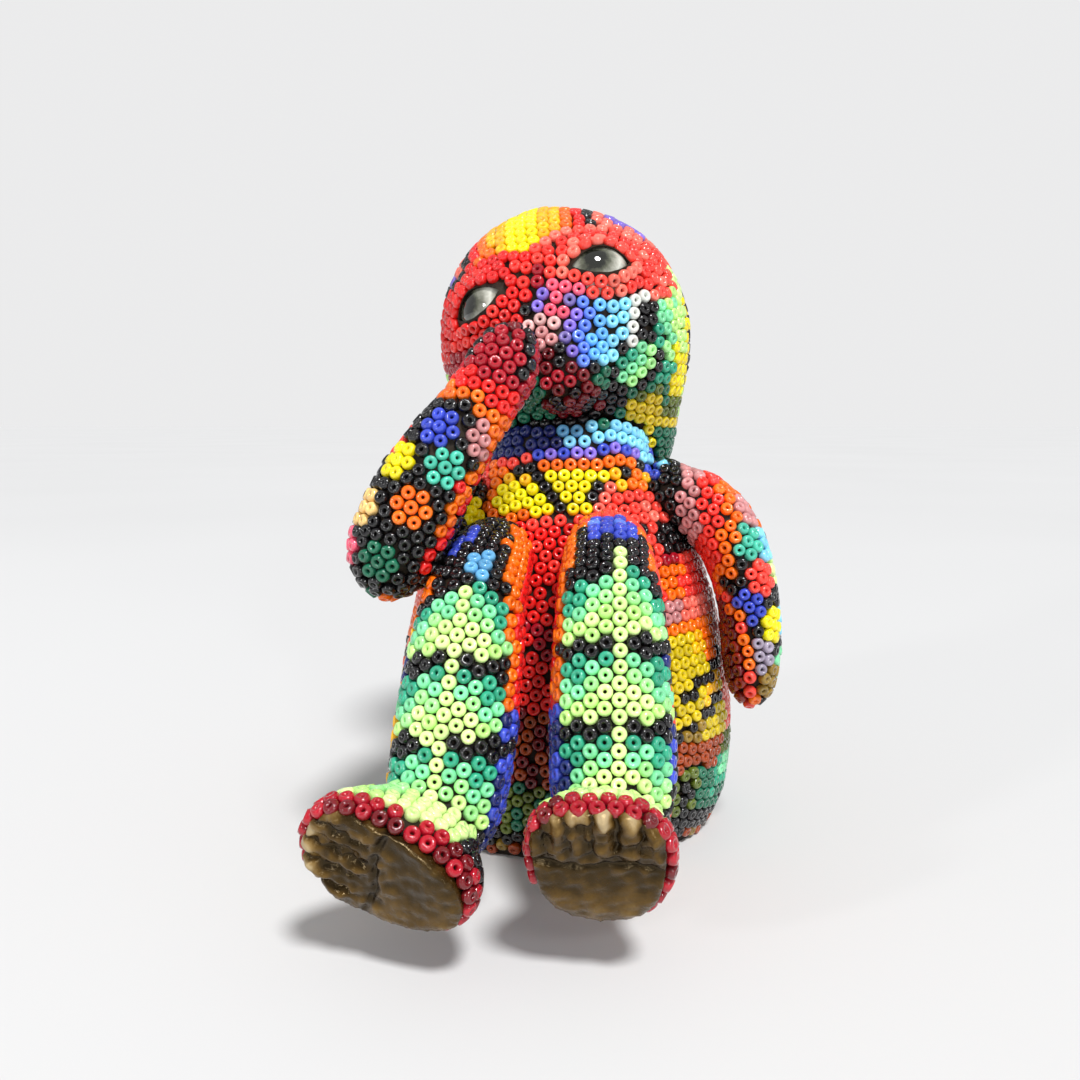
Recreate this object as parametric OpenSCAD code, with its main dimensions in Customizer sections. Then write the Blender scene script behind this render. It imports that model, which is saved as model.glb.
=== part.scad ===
// Seated figure of carved wood, covered with wax and pressed glass seed beads.
// Origin at the middle of the flat base, +Z up, the figure faces -Y, its left side is +X.

/* [Beads and wax] */
// Diameter of one glass seed bead
bead_d = 2.1; // [1.9:0.05:2.3]
// Thickness of the wax coat on the wood
wax_t = 1.2; // [1:0.1:1.4]

/* [Belly] */
// Greatest width of the belly over the beads
belly_w = 57.6; // [56:0.2:59]
// Greatest depth of the belly over the beads
belly_d = 51.6; // [50:0.2:53]

/* [Head] */
// Greatest width and depth of the head over the beads
head_w = 42.8; // [42:0.2:44]

/* [Arms] */
// Thickness of the bent right forearm
forearm_w = 13.6; // [13:0.1:14.4]
// Thickness of the flat left arm
flat_arm_t = 10.8; // [10.4:0.1:11.4]

/* [Legs and feet] */
// Width of a shin
shin_w = 17; // [16:0.2:18]
// Width of the left sole
left_sole_w = 18.4; // [17.6:0.2:19]
// Length of the left sole from heel to toes
left_sole_l = 18.6; // [18:0.2:19.4]
// Width of the right sole
right_sole_w = 15.6; // [15:0.2:16.4]
// Length of the right sole from heel to toes
right_sole_l = 23.4; // [22.6:0.2:24]
// Thickness of a foot behind its sole
foot_t = 6; // [5.6:0.1:6.4]
// Thickness of the waxed sole plate
sole_t = 1.4; // [1.2:0.1:1.6]

/* [Eyes] */
// Diameter of a glass eye
eye_d = 10.4; // [10:0.1:10.8]
// Length of the almond opening between the eyelids
lid_gap_l = 9.4; // [9:0.1:9.8]
// Height of the almond opening between the eyelids
lid_gap_h = 4.4; // [4:0.1:4.8]

/* [Dowels] */
// Diameter of the dowel between belly and head
neck_dowel_d = 6; // [5:0.5:7]
// Diameter of the dowels that hold the arms and legs
limb_dowel_d = 4; // [3:0.5:4.5]

/* [Hidden] */

RIGHT = 0;
LEFT = 1;

// Depth below the bead tops of the wax and of the wood: half of each bead stands out of the wax
wax_inset = bead_d / 2;
wood_inset = wax_inset + wax_t;

belly_sides = 22;
head_sides = 22;
limb_sides = 12;
foot_sides = 18;
// Rings made between two rows of a path
span_steps = 2;
// Radius of the small flat end of a closed path
tip = 0.3;
// Length by which a cutting solid runs past the face that it cuts
past = 2;
room = 200;

belly_a = belly_w / 2;
belly_b = belly_d / 2;
head_r = head_w / 2;
arm_r = forearm_w / 2;
flat_a = flat_arm_t / 2;
shin_a = shin_w / 2;

// Rows are [x, y, z, half width, half depth] along each path, over the beads
belly_rows = [
    [0, 0, -6, 0.7 * belly_a, 0.7 * belly_b],
    [0, -0.3, 0, 0.87 * belly_a, 0.87 * belly_b],
    [0, -0.5, 6, 0.975 * belly_a, 0.975 * belly_b],
    [0, -0.3, 19, 1 * belly_a, 1 * belly_b],
    [0, 0, 37, 0.895 * belly_a, 0.885 * belly_b],
    [0, 0, 52, 0.705 * belly_a, 0.7 * belly_b],
    [1, -0.6, 61, 0.49 * belly_a, 0.52 * belly_b],
    [2.2, -1.6, 67.6, 0.38 * belly_a, 0.4 * belly_b],
    [2.6, -1, 70.6, tip, tip]
];
head_rows = [
    [3.5, 1, 51, 5, 5],
    [3.8, 4.4, 58, 0.64 * head_r, 0.48 * head_r],
    [2.2, 5.2, 66.5, 0.82 * head_r, 0.71 * head_r],
    [0, 3.8, 79, 1 * head_r, 0.99 * head_r],
    [-2.5, 4.2, 91, 0.88 * head_r, 0.89 * head_r],
    [-4, 4, 99, 0.53 * head_r, 0.54 * head_r],
    [-4.6, 4, 102.8, tip, tip]
];
right_upper_arm_rows = [
    [-7, -2, 55.5, 4.4, 4.4],
    [-15.6, -11, 52.4, 0.94 * arm_r, 0.94 * arm_r],
    [-19.4, -22, 49, 1 * arm_r, 1 * arm_r],
    [-20.4, -31, 48.6, 0.86 * arm_r, 0.86 * arm_r],
    [-20.6, -37, 49.2, tip, tip]
];
right_forearm_rows = [
    [-22.6, -31.6, 40.8, tip, tip],
    [-21.3, -31.8, 46, 0.94 * arm_r, 0.92 * arm_r],
    [-17.9, -32, 54, 1.06 * arm_r, 1.02 * arm_r],
    [-13.2, -30.6, 62.6, 0.93 * arm_r, 0.88 * arm_r],
    [-9, -28, 69, 0.8 * arm_r, 0.78 * arm_r],
    [-5.7, -25.4, 75, 0.8 * arm_r, 0.76 * arm_r],
    [-3.8, -24.4, 79.3, 0.55 * arm_r, 0.55 * arm_r],
    [-3, -24.1, 81.2, tip, tip]
];
left_arm_rows = [
    [7, -2, 52, 4, 5],
    [17.5, -4.8, 55, 1.02 * flat_a, 6.6],
    [25.6, -7, 51.2, 1.06 * flat_a, 7.5],
    [29.9, -8.4, 41.6, 0.95 * flat_a, 7.8],
    [31, -9.5, 30.6, 0.88 * flat_a, 7.1],
    [31, -9.8, 24.4, 0.66 * flat_a, 5.2],
    [30.8, -9.8, 21, tip, tip]
];
function leg_rows(side) = [
    for (p = side == LEFT ? [
        [8, -9, 44.5, 0.68, 5.6],
        [8.9, -20.2, 47.9, 0.75, 6.5],
        [9.9, -31.6, 43.6, 0.88, 7.5],
        [10.7, -38, 33, 0.97, 7.5],
        [11.2, -42, 22, 1, 7.2],
        [11.3, -44, 13.3, 0.8, 5.4],
        [11.2, -44.5, 9, 0.03, 0.3]
    ] : [
        [-8, -9, 44.5, 0.68, 5.6],
        [-8.4, -20, 46.5, 0.75, 6.5],
        [-8.8, -32, 42, 0.88, 7.5],
        [-9.2, -38.5, 33, 0.97, 7.5],
        [-9.9, -43, 22, 1, 7.2],
        [-10.8, -45.5, 13, 0.8, 5.4],
        [-11, -46, 8.6, 0.03, 0.3]
    ]) [p[0], p[1], p[2], p[3] * shin_a, p[4]]
];

// Muzzle: a low mound under the eyes
muzzle_at = [1, -13, 75];
muzzle_r = [8.6, 6.4, 7];

// Soles: middle of the face, direction of the toes, direction that the sole faces
sole_at = [[-15, -58.5, 14.2], [10.6, -56.5, 15.9]];
toe_dir = [[-0.92, -0.2, 0.26], [0, -0.35, 1]];
sole_dir = [[-0.17, -0.93, -0.3], [0, -0.93, -0.35]];
sole_size = [[right_sole_w, right_sole_l], [left_sole_w, left_sole_l]];
// Depth behind the sole, as a share of the foot's thickness, and the outline's scale there
foot_steps = [[0.15, 1], [0.5, 1.02], [1, 0.9], [1.6, 0.66], [2.2, 0.5]];
sole_edge_scale = 0.93;
// Shift towards the heel for each unit of depth
foot_lean = [0.12, 0.3];
// Width of the bead rim round the sole, and how far the sole sits towards the heel
sole_margin = 0.8;
heel_shift = 0.3;
// Depth of the bead coat's front edge behind the sole
coat_edge = 0.5;
// Toe grooves, pressed into the upper part of each sole
toe_grooves = 4;
toe_groove_r = 0.8;
toe_groove_depth = 0.45;

// Eyes: where the axis crosses the bead tops, and the way that it looks
eye_at = [[-12.5, -13.3, 84.9], [7.4, -14.1, 90.9]];
eye_dir = [[-0.55, -0.82, 0.12], [0.36, -0.84, 0.4]];
// Line from the right eye to the left eye
eye_line = [0.953, -0.03, 0.3];
// Glass: height of the dome over the bead tops, its radius, and the depth of its flat back
dome_rise = 0.2;
dome_r = 6.5;
glass_back = -3.6;
eye_back_t = 0.6;
// Space left round the glass for glue
glue = 0.05;
// Strip round the eyelid opening that holds no beads
lid_edge = 0.8;

// Dowels: inner end in the belly and outer end in the piece that each one holds
neck_dowel_ends = [[1.5, 0, 48], [1.5, 1, 76]];
arm_dowel_ends = [[[-5, -1, 56], [-17.5, -14, 51.2]], [[4, -1, 51.5], [19, -5.2, 53.6]]];
leg_dowel_ends = [[[-7.4, -6, 44.5], [-8.5, -24, 46]], [[7.4, -6, 44.5], [9, -24, 46]]];

// ---- Curves and closed meshes ----

function unit(v) = v / norm(v);
function place(row) = [row[0], row[1], row[2]];
// Row i of a path, or the row that carries its end straight on
function row_at(rows, i) =
    i < 0 ? 2 * rows[0] - rows[1]
    : i >= len(rows) ? 2 * rows[len(rows) - 1] - rows[len(rows) - 2]
    : rows[i];
// Smooth curve from b to c, with a and d as the rows before and after
function between(a, b, c, d, t) =
    (2 * b + (c - a) * t + (2 * a - 5 * b + 4 * c - d) * t * t
    + (3 * b - a - 3 * c + d) * t * t * t) / 2;
function smooth_rows(rows) = concat(
    [
        for (i = [0 : len(rows) - 2], k = [0 : span_steps - 1])
            between(row_at(rows, i - 1), rows[i], rows[i + 1], row_at(rows, i + 2), k / span_steps)
    ],
    [rows[len(rows) - 1]]
);
function ring(mid, along, across, half_a, half_b, sides) =
    let (t = unit(along), u = unit(across - (across * t) * t), v = cross(t, u))
    [
        for (j = [0 : sides - 1])
            let (q = 360 * j / sides)
            mid + half_a * cos(q) * u + half_b * sin(q) * v
    ];
// Rings square to a path, or square to fixed_along where that is given
function path_rings(path, sides, fixed_along) = [
    for (i = [0 : len(path) - 1])
        let (run = place(row_at(path, i + 1)) - place(row_at(path, i - 1)))
        ring(place(path[i]), is_undef(fixed_along) ? run : fixed_along, [1, 0, 0],
            path[i][3], path[i][4], sides)
];
// Outward direction of the surface at point j of ring i; the end rings face along the path
function outward(rings, i, j) =
    let (n = len(rings[i]), last = len(rings) - 1)
    i == 0 || i == last
        ? (i == 0 ? -1 : 1) * unit(cross(rings[i][1] - rings[i][0], rings[i][2] - rings[i][1]))
        : unit(cross(rings[i][(j + 1) % n] - rings[i][(j + n - 1) % n],
            rings[i + 1][j] - rings[i - 1][j]));
function sunk_rings(rings, inset) = [
    for (i = [0 : len(rings) - 1])
        [for (j = [0 : len(rings[i]) - 1]) rings[i][j] - inset * outward(rings, i, j)]
];
function mean(points) = [for (k = [0 : 2]) sum_of(points, k) / len(points)];
function sum_of(points, k, i = 0) = i == len(points) ? 0 : points[i][k] + sum_of(points, k, i + 1);

// Closed mesh through rings of equal count, each end closed by a fan
module skin(rings) {
    n = len(rings[0]);
    count = len(rings);
    polyhedron(
        points = concat(
            [for (r = rings, p = r) p],
            [mean(rings[0]), mean(rings[count - 1])]
        ),
        faces = concat(
            [
                for (i = [0 : count - 2], j = [0 : n - 1])
                    [i * n + j, (i + 1) * n + j, (i + 1) * n + (j + 1) % n]
            ],
            [
                for (i = [0 : count - 2], j = [0 : n - 1])
                    [i * n + j, (i + 1) * n + (j + 1) % n, i * n + (j + 1) % n]
            ],
            [for (j = [0 : n - 1]) [count * n, j, (j + 1) % n]],
            [for (j = [0 : n - 1]) [count * n + 1, (count - 1) * n + (j + 1) % n, (count - 1) * n + j]]
        )
    );
}

module loft(rows, inset, sides, fixed_along) {
    skin(sunk_rings(path_rings(smooth_rows(rows), sides, fixed_along), inset));
}

// Keeps what it holds as one closed mesh
module as_mesh() {
    resize([0, 0, 0]) children();
}

// Puts x along the given line and z along the given direction, at a point
module stand_at(at, line, dir) {
    z = unit(dir);
    x = unit(line - (line * z) * z);
    y = cross(z, x);
    multmatrix([[x[0], y[0], z[0], at[0]], [x[1], y[1], z[1], at[1]], [x[2], y[2], z[2], at[2]]])
        children();
}

module rod(ends, d) {
    axis = ends[1] - ends[0];
    translate(ends[0])
        rotate([0, acos(axis[2] / norm(axis)), atan2(axis[1], axis[0])])
            cylinder(d = d, h = norm(axis), $fn = 32);
}

// ---- Volumes, each at a depth below the bead tops ----

module under_base() {
    translate([-room / 2, -room / 2, -room / 2]) cube([room, room, room / 2]);
}

module belly_volume(inset) {
    loft(belly_rows, inset, belly_sides, [0, 0, 1]);
}

module head_volume(inset) {
    loft(head_rows, inset, head_sides);
    translate(muzzle_at)
        scale([muzzle_r[0] - inset, muzzle_r[1] - inset, muzzle_r[2] - inset])
            sphere(r = 1, $fn = 16);
}

module arm_volume(side, inset) {
    if (side == LEFT) {
        loft(left_arm_rows, inset, limb_sides);
    } else {
        loft(right_upper_arm_rows, inset, limb_sides);
        loft(right_forearm_rows, inset, limb_sides);
    }
}

// Outline of a foot, flatter than an ellipse and a little wider at the toes
function foot_outline(side, scale_by, inset) = [
    for (j = [0 : foot_sides - 1])
        let (
            q = 360 * j / foot_sides,
            half_w = scale_by * sole_size[side][0] / 2 - inset,
            half_l = scale_by * sole_size[side][1] / 2 - inset
        )
        [half_w * sign(sin(q)) * pow(abs(sin(q)), 0.85) * (1 + 0.1 * cos(q)),
            half_l * sign(cos(q)) * pow(abs(cos(q)), 0.9)]
];

// Stands on the sole's face: x across the foot, y to the toes, z out of the sole
module at_sole(side) {
    across = cross(toe_dir[side], sole_dir[side]);
    stand_at(sole_at[side], across, sole_dir[side]) children();
}

// Foot from a plane behind its sole (a negative depth is in front of it) to the ankle
module foot_volume(side, inset, front_depth) {
    steps = concat([[front_depth / foot_t, sole_edge_scale]], foot_steps);
    at_sole(side)
        skin([
            for (s = steps)
                [
                    for (p = foot_outline(side, s[1], inset))
                        [p[0], p[1] - foot_lean[side] * max(s[0], 0) * foot_t, -s[0] * foot_t]
                ]
        ]);
}

module leg_volume(side, inset, front_depth) {
    loft(leg_rows(side), inset, limb_sides);
    foot_volume(side, inset, front_depth);
}

module limb_volumes(inset) {
    for (side = [RIGHT, LEFT]) {
        arm_volume(side, inset);
        loft(leg_rows(side), inset, limb_sides);
    }
}

// ---- Eyes ----

module at_eye(side) {
    stand_at(eye_at[side], eye_line, eye_dir[side]) children();
}

module glass_shape(gap) {
    intersection() {
        translate([0, 0, dome_rise - dome_r]) sphere(r = dome_r + gap, $fn = 48);
        translate([0, 0, glass_back - gap]) cylinder(d = eye_d + 2 * gap, h = dome_r, $fn = 48);
    }
}

module eye_back_shape(gap) {
    translate([0, 0, glass_back - eye_back_t - gap])
        cylinder(d = eye_d + 2 * gap, h = eye_back_t + gap, $fn = 48);
}

// Almond opening: where two discs overlap
module lid_opening(margin) {
    half_l = lid_gap_l / 2 + margin;
    half_h = lid_gap_h / 2 + margin;
    disc_r = (half_l * half_l + half_h * half_h) / (2 * half_h);
    translate([0, 0, glass_back])
        linear_extrude(room / 20)
            intersection_for (s = [-1, 1])
                translate([0, s * (disc_r - half_h)]) circle(r = disc_r, $fn = 48);
}

// ---- Wooden cores and dowels ----

module neck_dowel() {
    color("burlywood") rod(neck_dowel_ends, neck_dowel_d);
}

module arm_dowel(side) {
    color("burlywood") rod(arm_dowel_ends[side], limb_dowel_d);
}

module leg_dowel(side) {
    color("burlywood") rod(leg_dowel_ends[side], limb_dowel_d);
}

module torso_core() {
    color("tan")
        difference() {
            as_mesh() belly_volume(wood_inset);
            under_base();
            neck_dowel();
            for (side = [RIGHT, LEFT]) {
                arm_dowel(side);
                leg_dowel(side);
            }
        }
}

module head_core() {
    color("tan")
        difference() {
            as_mesh()
                difference() {
                    head_volume(wood_inset);
                    belly_volume(wood_inset);
                }
            neck_dowel();
            for (side = [RIGHT, LEFT])
                at_eye(side)
                    translate([0, 0, glass_back - eye_back_t])
                        cylinder(d = eye_d, h = dome_r, $fn = 48);
        }
}

module arm_core(side) {
    color("tan")
        difference() {
            as_mesh()
                difference() {
                    arm_volume(side, wood_inset);
                    belly_volume(wood_inset);
                    head_volume(wood_inset);
                }
            arm_dowel(side);
        }
}

module leg_core(side) {
    color("tan")
        difference() {
            as_mesh()
                difference() {
                    leg_volume(side, wood_inset, sole_t);
                    belly_volume(wood_inset);
                }
            leg_dowel(side);
        }
}

// ---- Wax coats ----

module torso_wax() {
    color("saddlebrown")
        as_mesh()
            difference() {
                belly_volume(wax_inset);
                belly_volume(wood_inset);
                under_base();
                head_volume(wood_inset);
                limb_volumes(wood_inset);
            }
}

module head_wax() {
    color("saddlebrown")
        as_mesh()
            difference() {
                head_volume(wax_inset);
                head_volume(wood_inset);
                belly_volume(wax_inset);
                for (side = [RIGHT, LEFT])
                    at_eye(side) {
                        glass_shape(glue);
                        eye_back_shape(glue);
                        lid_opening(0);
                    }
            }
}

module arm_wax(side) {
    color("saddlebrown")
        as_mesh()
            difference() {
                arm_volume(side, wax_inset);
                arm_volume(side, wood_inset);
                belly_volume(wax_inset);
                head_volume(wax_inset);
            }
}

module leg_wax(side) {
    color("saddlebrown")
        as_mesh()
            difference() {
                leg_volume(side, wax_inset, sole_t);
                leg_volume(side, wood_inset, -past);
                belly_volume(wax_inset);
            }
}

// ---- Bead coats: the space that the pressed beads fill, over the wax ----

module torso_beads() {
    color("orangered")
        as_mesh()
            difference() {
                belly_volume(0);
                belly_volume(wax_inset);
                under_base();
                head_volume(wax_inset);
                limb_volumes(wax_inset);
            }
}

module head_beads() {
    color("crimson")
        as_mesh()
            difference() {
                head_volume(0);
                head_volume(wax_inset);
                belly_volume(0);
                for (side = [RIGHT, LEFT])
                    at_eye(side) {
                        glass_shape(glue);
                        lid_opening(lid_edge);
                    }
            }
}

module arm_beads(side) {
    color(side == LEFT ? "orange" : "midnightblue")
        as_mesh()
            difference() {
                arm_volume(side, 0);
                arm_volume(side, wax_inset);
                belly_volume(0);
                head_volume(0);
            }
}

module leg_beads(side) {
    color("yellowgreen")
        as_mesh()
            difference() {
                leg_volume(side, 0, coat_edge);
                leg_volume(side, wax_inset, -past);
                belly_volume(0);
            }
}

// ---- Eyes and soles ----

module eye_glass(side) {
    color("lightgray") at_eye(side) glass_shape(0);
}

module eye_back(side) {
    color("black") at_eye(side) eye_back_shape(0);
}

module sole(side) {
    pitch = sole_size[side][0] / (toe_grooves + 1);
    color("sienna")
        at_sole(side)
            difference() {
                translate([0, -heel_shift, -sole_t])
                    linear_extrude(sole_t)
                        polygon(foot_outline(side, sole_edge_scale, sole_margin));
                for (k = [0 : toe_grooves - 1])
                    translate([(k - (toe_grooves - 1) / 2) * pitch, sole_size[side][1] * 0.12,
                        toe_groove_r - toe_groove_depth])
                        rotate([-90, 0, 0])
                            cylinder(r = toe_groove_r, h = sole_size[side][1], $fn = 24);
            }
}

torso_core();
head_core();
arm_core(RIGHT);  // arm_core_right
arm_core(LEFT);  // arm_core_left
leg_core(RIGHT);  // leg_core_right
leg_core(LEFT);  // leg_core_left
neck_dowel();
arm_dowel(RIGHT);  // arm_dowel_right
arm_dowel(LEFT);  // arm_dowel_left
leg_dowel(RIGHT);  // leg_dowel_right
leg_dowel(LEFT);  // leg_dowel_left
torso_wax();
head_wax();
arm_wax(RIGHT);  // arm_wax_right
arm_wax(LEFT);  // arm_wax_left
leg_wax(RIGHT);  // leg_wax_right
leg_wax(LEFT);  // leg_wax_left
torso_beads();
head_beads();
arm_beads(RIGHT);  // arm_beads_right
arm_beads(LEFT);  // arm_beads_left
leg_beads(RIGHT);  // leg_beads_right
leg_beads(LEFT);  // leg_beads_left
eye_glass(RIGHT);  // eye_glass_right
eye_glass(LEFT);  // eye_glass_left
eye_back(RIGHT);  // eye_back_right
eye_back(LEFT);  // eye_back_left
sole(RIGHT);  // sole_right
sole(LEFT);  // sole_left
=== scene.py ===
"""Looks of the beaded figure: rings of glass pressed into wax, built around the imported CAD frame.

Lengths are in millimetres until a mesh is made, and each mesh is in metres, in the frame's axes.
"""

import math

import bmesh
import bpy
import numpy as np
from mathutils import Matrix, Vector
from mathutils.bvhtree import BVHTree


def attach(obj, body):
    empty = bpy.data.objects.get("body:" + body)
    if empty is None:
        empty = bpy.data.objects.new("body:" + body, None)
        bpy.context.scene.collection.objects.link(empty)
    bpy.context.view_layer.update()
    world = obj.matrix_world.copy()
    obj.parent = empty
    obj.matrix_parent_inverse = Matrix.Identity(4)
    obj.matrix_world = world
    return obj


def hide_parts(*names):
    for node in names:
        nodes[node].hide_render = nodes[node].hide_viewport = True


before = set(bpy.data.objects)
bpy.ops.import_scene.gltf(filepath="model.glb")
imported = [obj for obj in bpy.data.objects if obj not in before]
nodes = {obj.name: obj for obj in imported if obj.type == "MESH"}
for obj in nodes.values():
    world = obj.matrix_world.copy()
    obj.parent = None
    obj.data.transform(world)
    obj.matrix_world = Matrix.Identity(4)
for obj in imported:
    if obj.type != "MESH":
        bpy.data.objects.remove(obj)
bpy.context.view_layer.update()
rng = np.random.default_rng(11)

MM = 0.001
ROOT = "root"

# Beads: distance between neighbours, outer radius, hole radius, half height, height of the middle over the
# wax, and the number of sides round the ring and round its section
PITCH = 2.07
RING_R = 1.03
HOLE_R = 0.21
HALF_H = 0.7
LIFT = 0.36
AROUND = 13
PROFILE = 8

# Wax skins: size of the remeshed faces and rounds of smoothing
SKIN_FACE = 1.15
SMOOTH_ROUNDS = 150


def unit(v):
    v = np.asarray(v, float)
    return v / np.linalg.norm(v)


# ---- Paths and frames of the parts, as in the CAD source ----


class Path:
    """Smooth line through a limb, which gives a point's distance along the limb and angle round it."""

    def __init__(self, rows, steps=24):
        pts = np.array(rows, float)
        ext = np.vstack([2 * pts[0] - pts[1], pts, 2 * pts[-1] - pts[-2]])
        out = []
        for i in range(len(pts) - 1):
            a, b, c, d = ext[i : i + 4]
            square = 2 * a - 5 * b + 4 * c - d
            cube = 3 * b - a - 3 * c + d
            for k in range(steps):
                t = k / steps
                out.append((2 * b + (c - a) * t + square * t * t + cube * t**3) / 2)
        out.append(pts[-1])
        self.points = np.array(out)
        tangents = np.gradient(self.points, axis=0)
        self.tangents = tangents / np.linalg.norm(tangents, axis=1)[:, None]
        self.along = np.concatenate([[0], np.cumsum(np.linalg.norm(np.diff(self.points, axis=0), axis=1))])

    def frame_at(self, i):
        t = self.tangents[i]
        side = unit(np.array([1.0, 0, 0]) - t[0] * t)
        return t, side, np.cross(t, side)

    def local(self, p):
        """(distance along, angle round from the front, distance from the line)"""
        i = int(np.argmin(((self.points - p) ** 2).sum(1)))
        t, side, front = self.frame_at(i)
        d = p - self.points[i]
        return self.along[i] + d @ t, math.atan2(d @ side, d @ front), float(np.linalg.norm(d - (d @ t) * t))

    def ray(self, along, angle):
        """(point on the line, direction outward at the angle)"""
        i = int(np.argmin(np.abs(self.along - along)))
        _, side, front = self.frame_at(i)
        return self.points[i], math.sin(angle) * side + math.cos(angle) * front


LEG_PATH = {
    "left": Path([
        (8, -9, 44.5), (8.9, -20.2, 47.9), (9.9, -31.6, 43.6), (10.7, -38, 33), (11.2, -42, 22),
        (11.3, -44, 13.3), (11.2, -44.5, 9),
    ]),
    "right": Path([
        (-8, -9, 44.5), (-8.4, -20, 46.5), (-8.8, -32, 42), (-9.2, -38.5, 33), (-9.9, -43, 22),
        (-10.8, -45.5, 13), (-11, -46, 8.6),
    ]),
}
LEFT_ARM = Path([
    (7, -2, 52), (17.5, -4.8, 55), (25.6, -7, 51.2), (29.9, -8.4, 41.6), (31, -9.5, 30.6),
    (31, -9.8, 24.4), (30.8, -9.8, 21),
])
UPPER_ARM = Path([
    (-7, -2, 55.5), (-15.6, -11, 52.4), (-19.4, -22, 49), (-20.4, -31, 48.6), (-20.6, -37, 49.2),
])
FOREARM = Path([
    (-3, -24.1, 81.2), (-3.8, -24.4, 79.3), (-5.7, -25.4, 75), (-9, -28, 69), (-13.2, -30.6, 62.6),
    (-17.9, -32, 54), (-21.3, -31.8, 46), (-22.6, -31.6, 40.8),
])

# The head: its middle, the line through both eyes, and the way that the face looks
HEAD_MID = np.array([-1.0, 4.0, 80.0])
EYE_LINE = unit([0.953, -0.03, 0.3])
GAZE = np.array([-0.1, -0.95, 0.12])
FACE_OUT = unit(GAZE - (GAZE @ EYE_LINE) * EYE_LINE)
FACE_UP = np.cross(EYE_LINE, -FACE_OUT)
if FACE_UP[2] < 0:
    FACE_UP = -FACE_UP

# Each eye: middle of the opening, and the way that it looks
EYES = {
    "right": (np.array([-12.5, -13.3, 84.9]), unit([-0.55, -0.82, 0.12])),
    "left": (np.array([7.4, -14.1, 90.9]), unit([0.36, -0.84, 0.4])),
}
# The almond between the eyelids is where two discs overlap: its half length and half height, then the
# discs' radius, how far their middles are from the almond's, and half the angle of its edge
LID_HALF_L = 4.7
LID_HALF_H = 2.2
LID_R = (LID_HALF_L**2 + LID_HALF_H**2) / (2 * LID_HALF_H)
LID_OFF = LID_R - LID_HALF_H
LID_ANGLE = math.atan2(LID_HALF_L, LID_OFF)

# The glass: how far its dome rises over the opening's middle, the dome's radius, its back and its own radius
DOME_RISE = 0.2
DOME_R = 6.5
GLASS_BACK = -3.6
EYE_R = 5.2

# The painted disc behind the glass: radius, thickness, hollow in its face, and radius of its painted iris
DISC_R = EYE_R - 0.05
DISC_THICK = 0.6
DISC_DISH = 0.25
IRIS_R = 5.4

# The iris that the glass carries: how far its middle is off the opening's, along and across, and its reach;
# the pupil sits back along the lids and up, which paints the glass dark on that side and pale on the other,
# as painted shade and painted light falling through the glass
PUPIL_AND_SHADE_AT = (-1.1, 0.5)
GLASS_IRIS_R = 8

# Each sole: middle of its face, the way to the toes, the way that it faces, width and length
SOLES = {
    "right": (
        np.array([-15, -58.5, 14.2]), unit([-0.92, -0.2, 0.26]), unit([-0.17, -0.93, -0.3]), 15.6, 23.4,
    ),
    "left": (np.array([10.6, -56.5, 15.9]), unit([0, -0.35, 1]), unit([0, -0.93, -0.35]), 18.4, 18.6),
}


def eye_axes(side):
    """Axes of an eye: along its lids, across them, and out."""
    z = EYES[side][1]
    x = unit(EYE_LINE - (EYE_LINE @ z) * z)
    return x, np.cross(z, x), z


def sole_axes(side):
    """Axes of a sole: across it, towards the toes, and out of its face."""
    z = SOLES[side][2]
    x = np.cross(SOLES[side][1], z)
    x = unit(x - (x @ z) * z)
    return x, np.cross(z, x), z


# ---- Meshes ----


def arrays_of(me):
    """Vertices and faces of a mesh."""
    v = np.zeros(len(me.vertices) * 3)
    me.vertices.foreach_get("co", v)
    return v.reshape(-1, 3), [tuple(p.vertices) for p in me.polygons]


def mesh_of(name):
    """Vertices in millimetres and faces of a CAD node."""
    v, faces = arrays_of(nodes[name].data)
    return v / MM, faces


def joined(parts):
    """Several (vertices, faces) as one."""
    vs, fs, start = [], [], 0
    for v, f in parts:
        vs.append(v)
        fs += [tuple(i + start for i in face) for face in f]
        start += len(v)
    return np.vstack(vs), fs


def placed(name, data):
    """A new object in the scene."""
    o = bpy.data.objects.new(name, data)
    bpy.context.scene.collection.objects.link(o)
    return o


def object_from(name, v, faces, scale=MM):
    """A new object of vertices and faces, smooth shaded."""
    me = bpy.data.meshes.new(name)
    me.from_pydata((np.asarray(v) * scale).tolist(), [], faces)
    me.polygons.foreach_set("use_smooth", [True] * len(me.polygons))
    me.update()
    return placed(name, me)


def with_modifiers(o):
    """A new mesh of an object with its modifiers."""
    return bpy.data.meshes.new_from_object(o.evaluated_get(bpy.context.evaluated_depsgraph_get()))


def evaluated(o):
    """Vertices and faces of an object with its modifiers, after which the object is removed."""
    me = with_modifiers(o)
    out = arrays_of(me)
    bpy.data.objects.remove(o)
    bpy.data.meshes.remove(me)
    return out


def face_edges(faces):
    e = set()
    for f in faces:
        for a, b in zip(f, f[1:] + f[:1]):
            e.add((a, b) if a < b else (b, a))
    return np.array(sorted(e))


def smoothed(v, faces, rounds, keep=0.505):
    """Smooths without shrinking: points move to their neighbours' middle, then almost as far back."""
    e = face_edges(faces)
    a, b = np.concatenate([e[:, 0], e[:, 1]]), np.concatenate([e[:, 1], e[:, 0]])
    count = np.bincount(a, minlength=len(v))
    v = v.copy()
    for k in range(2 * rounds):
        mid = np.stack([np.bincount(a, v[b, c], minlength=len(v)) for c in range(3)], 1) / count[:, None]
        v += (0.5 if k % 2 == 0 else -keep) * (mid - v)
    return v


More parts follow.
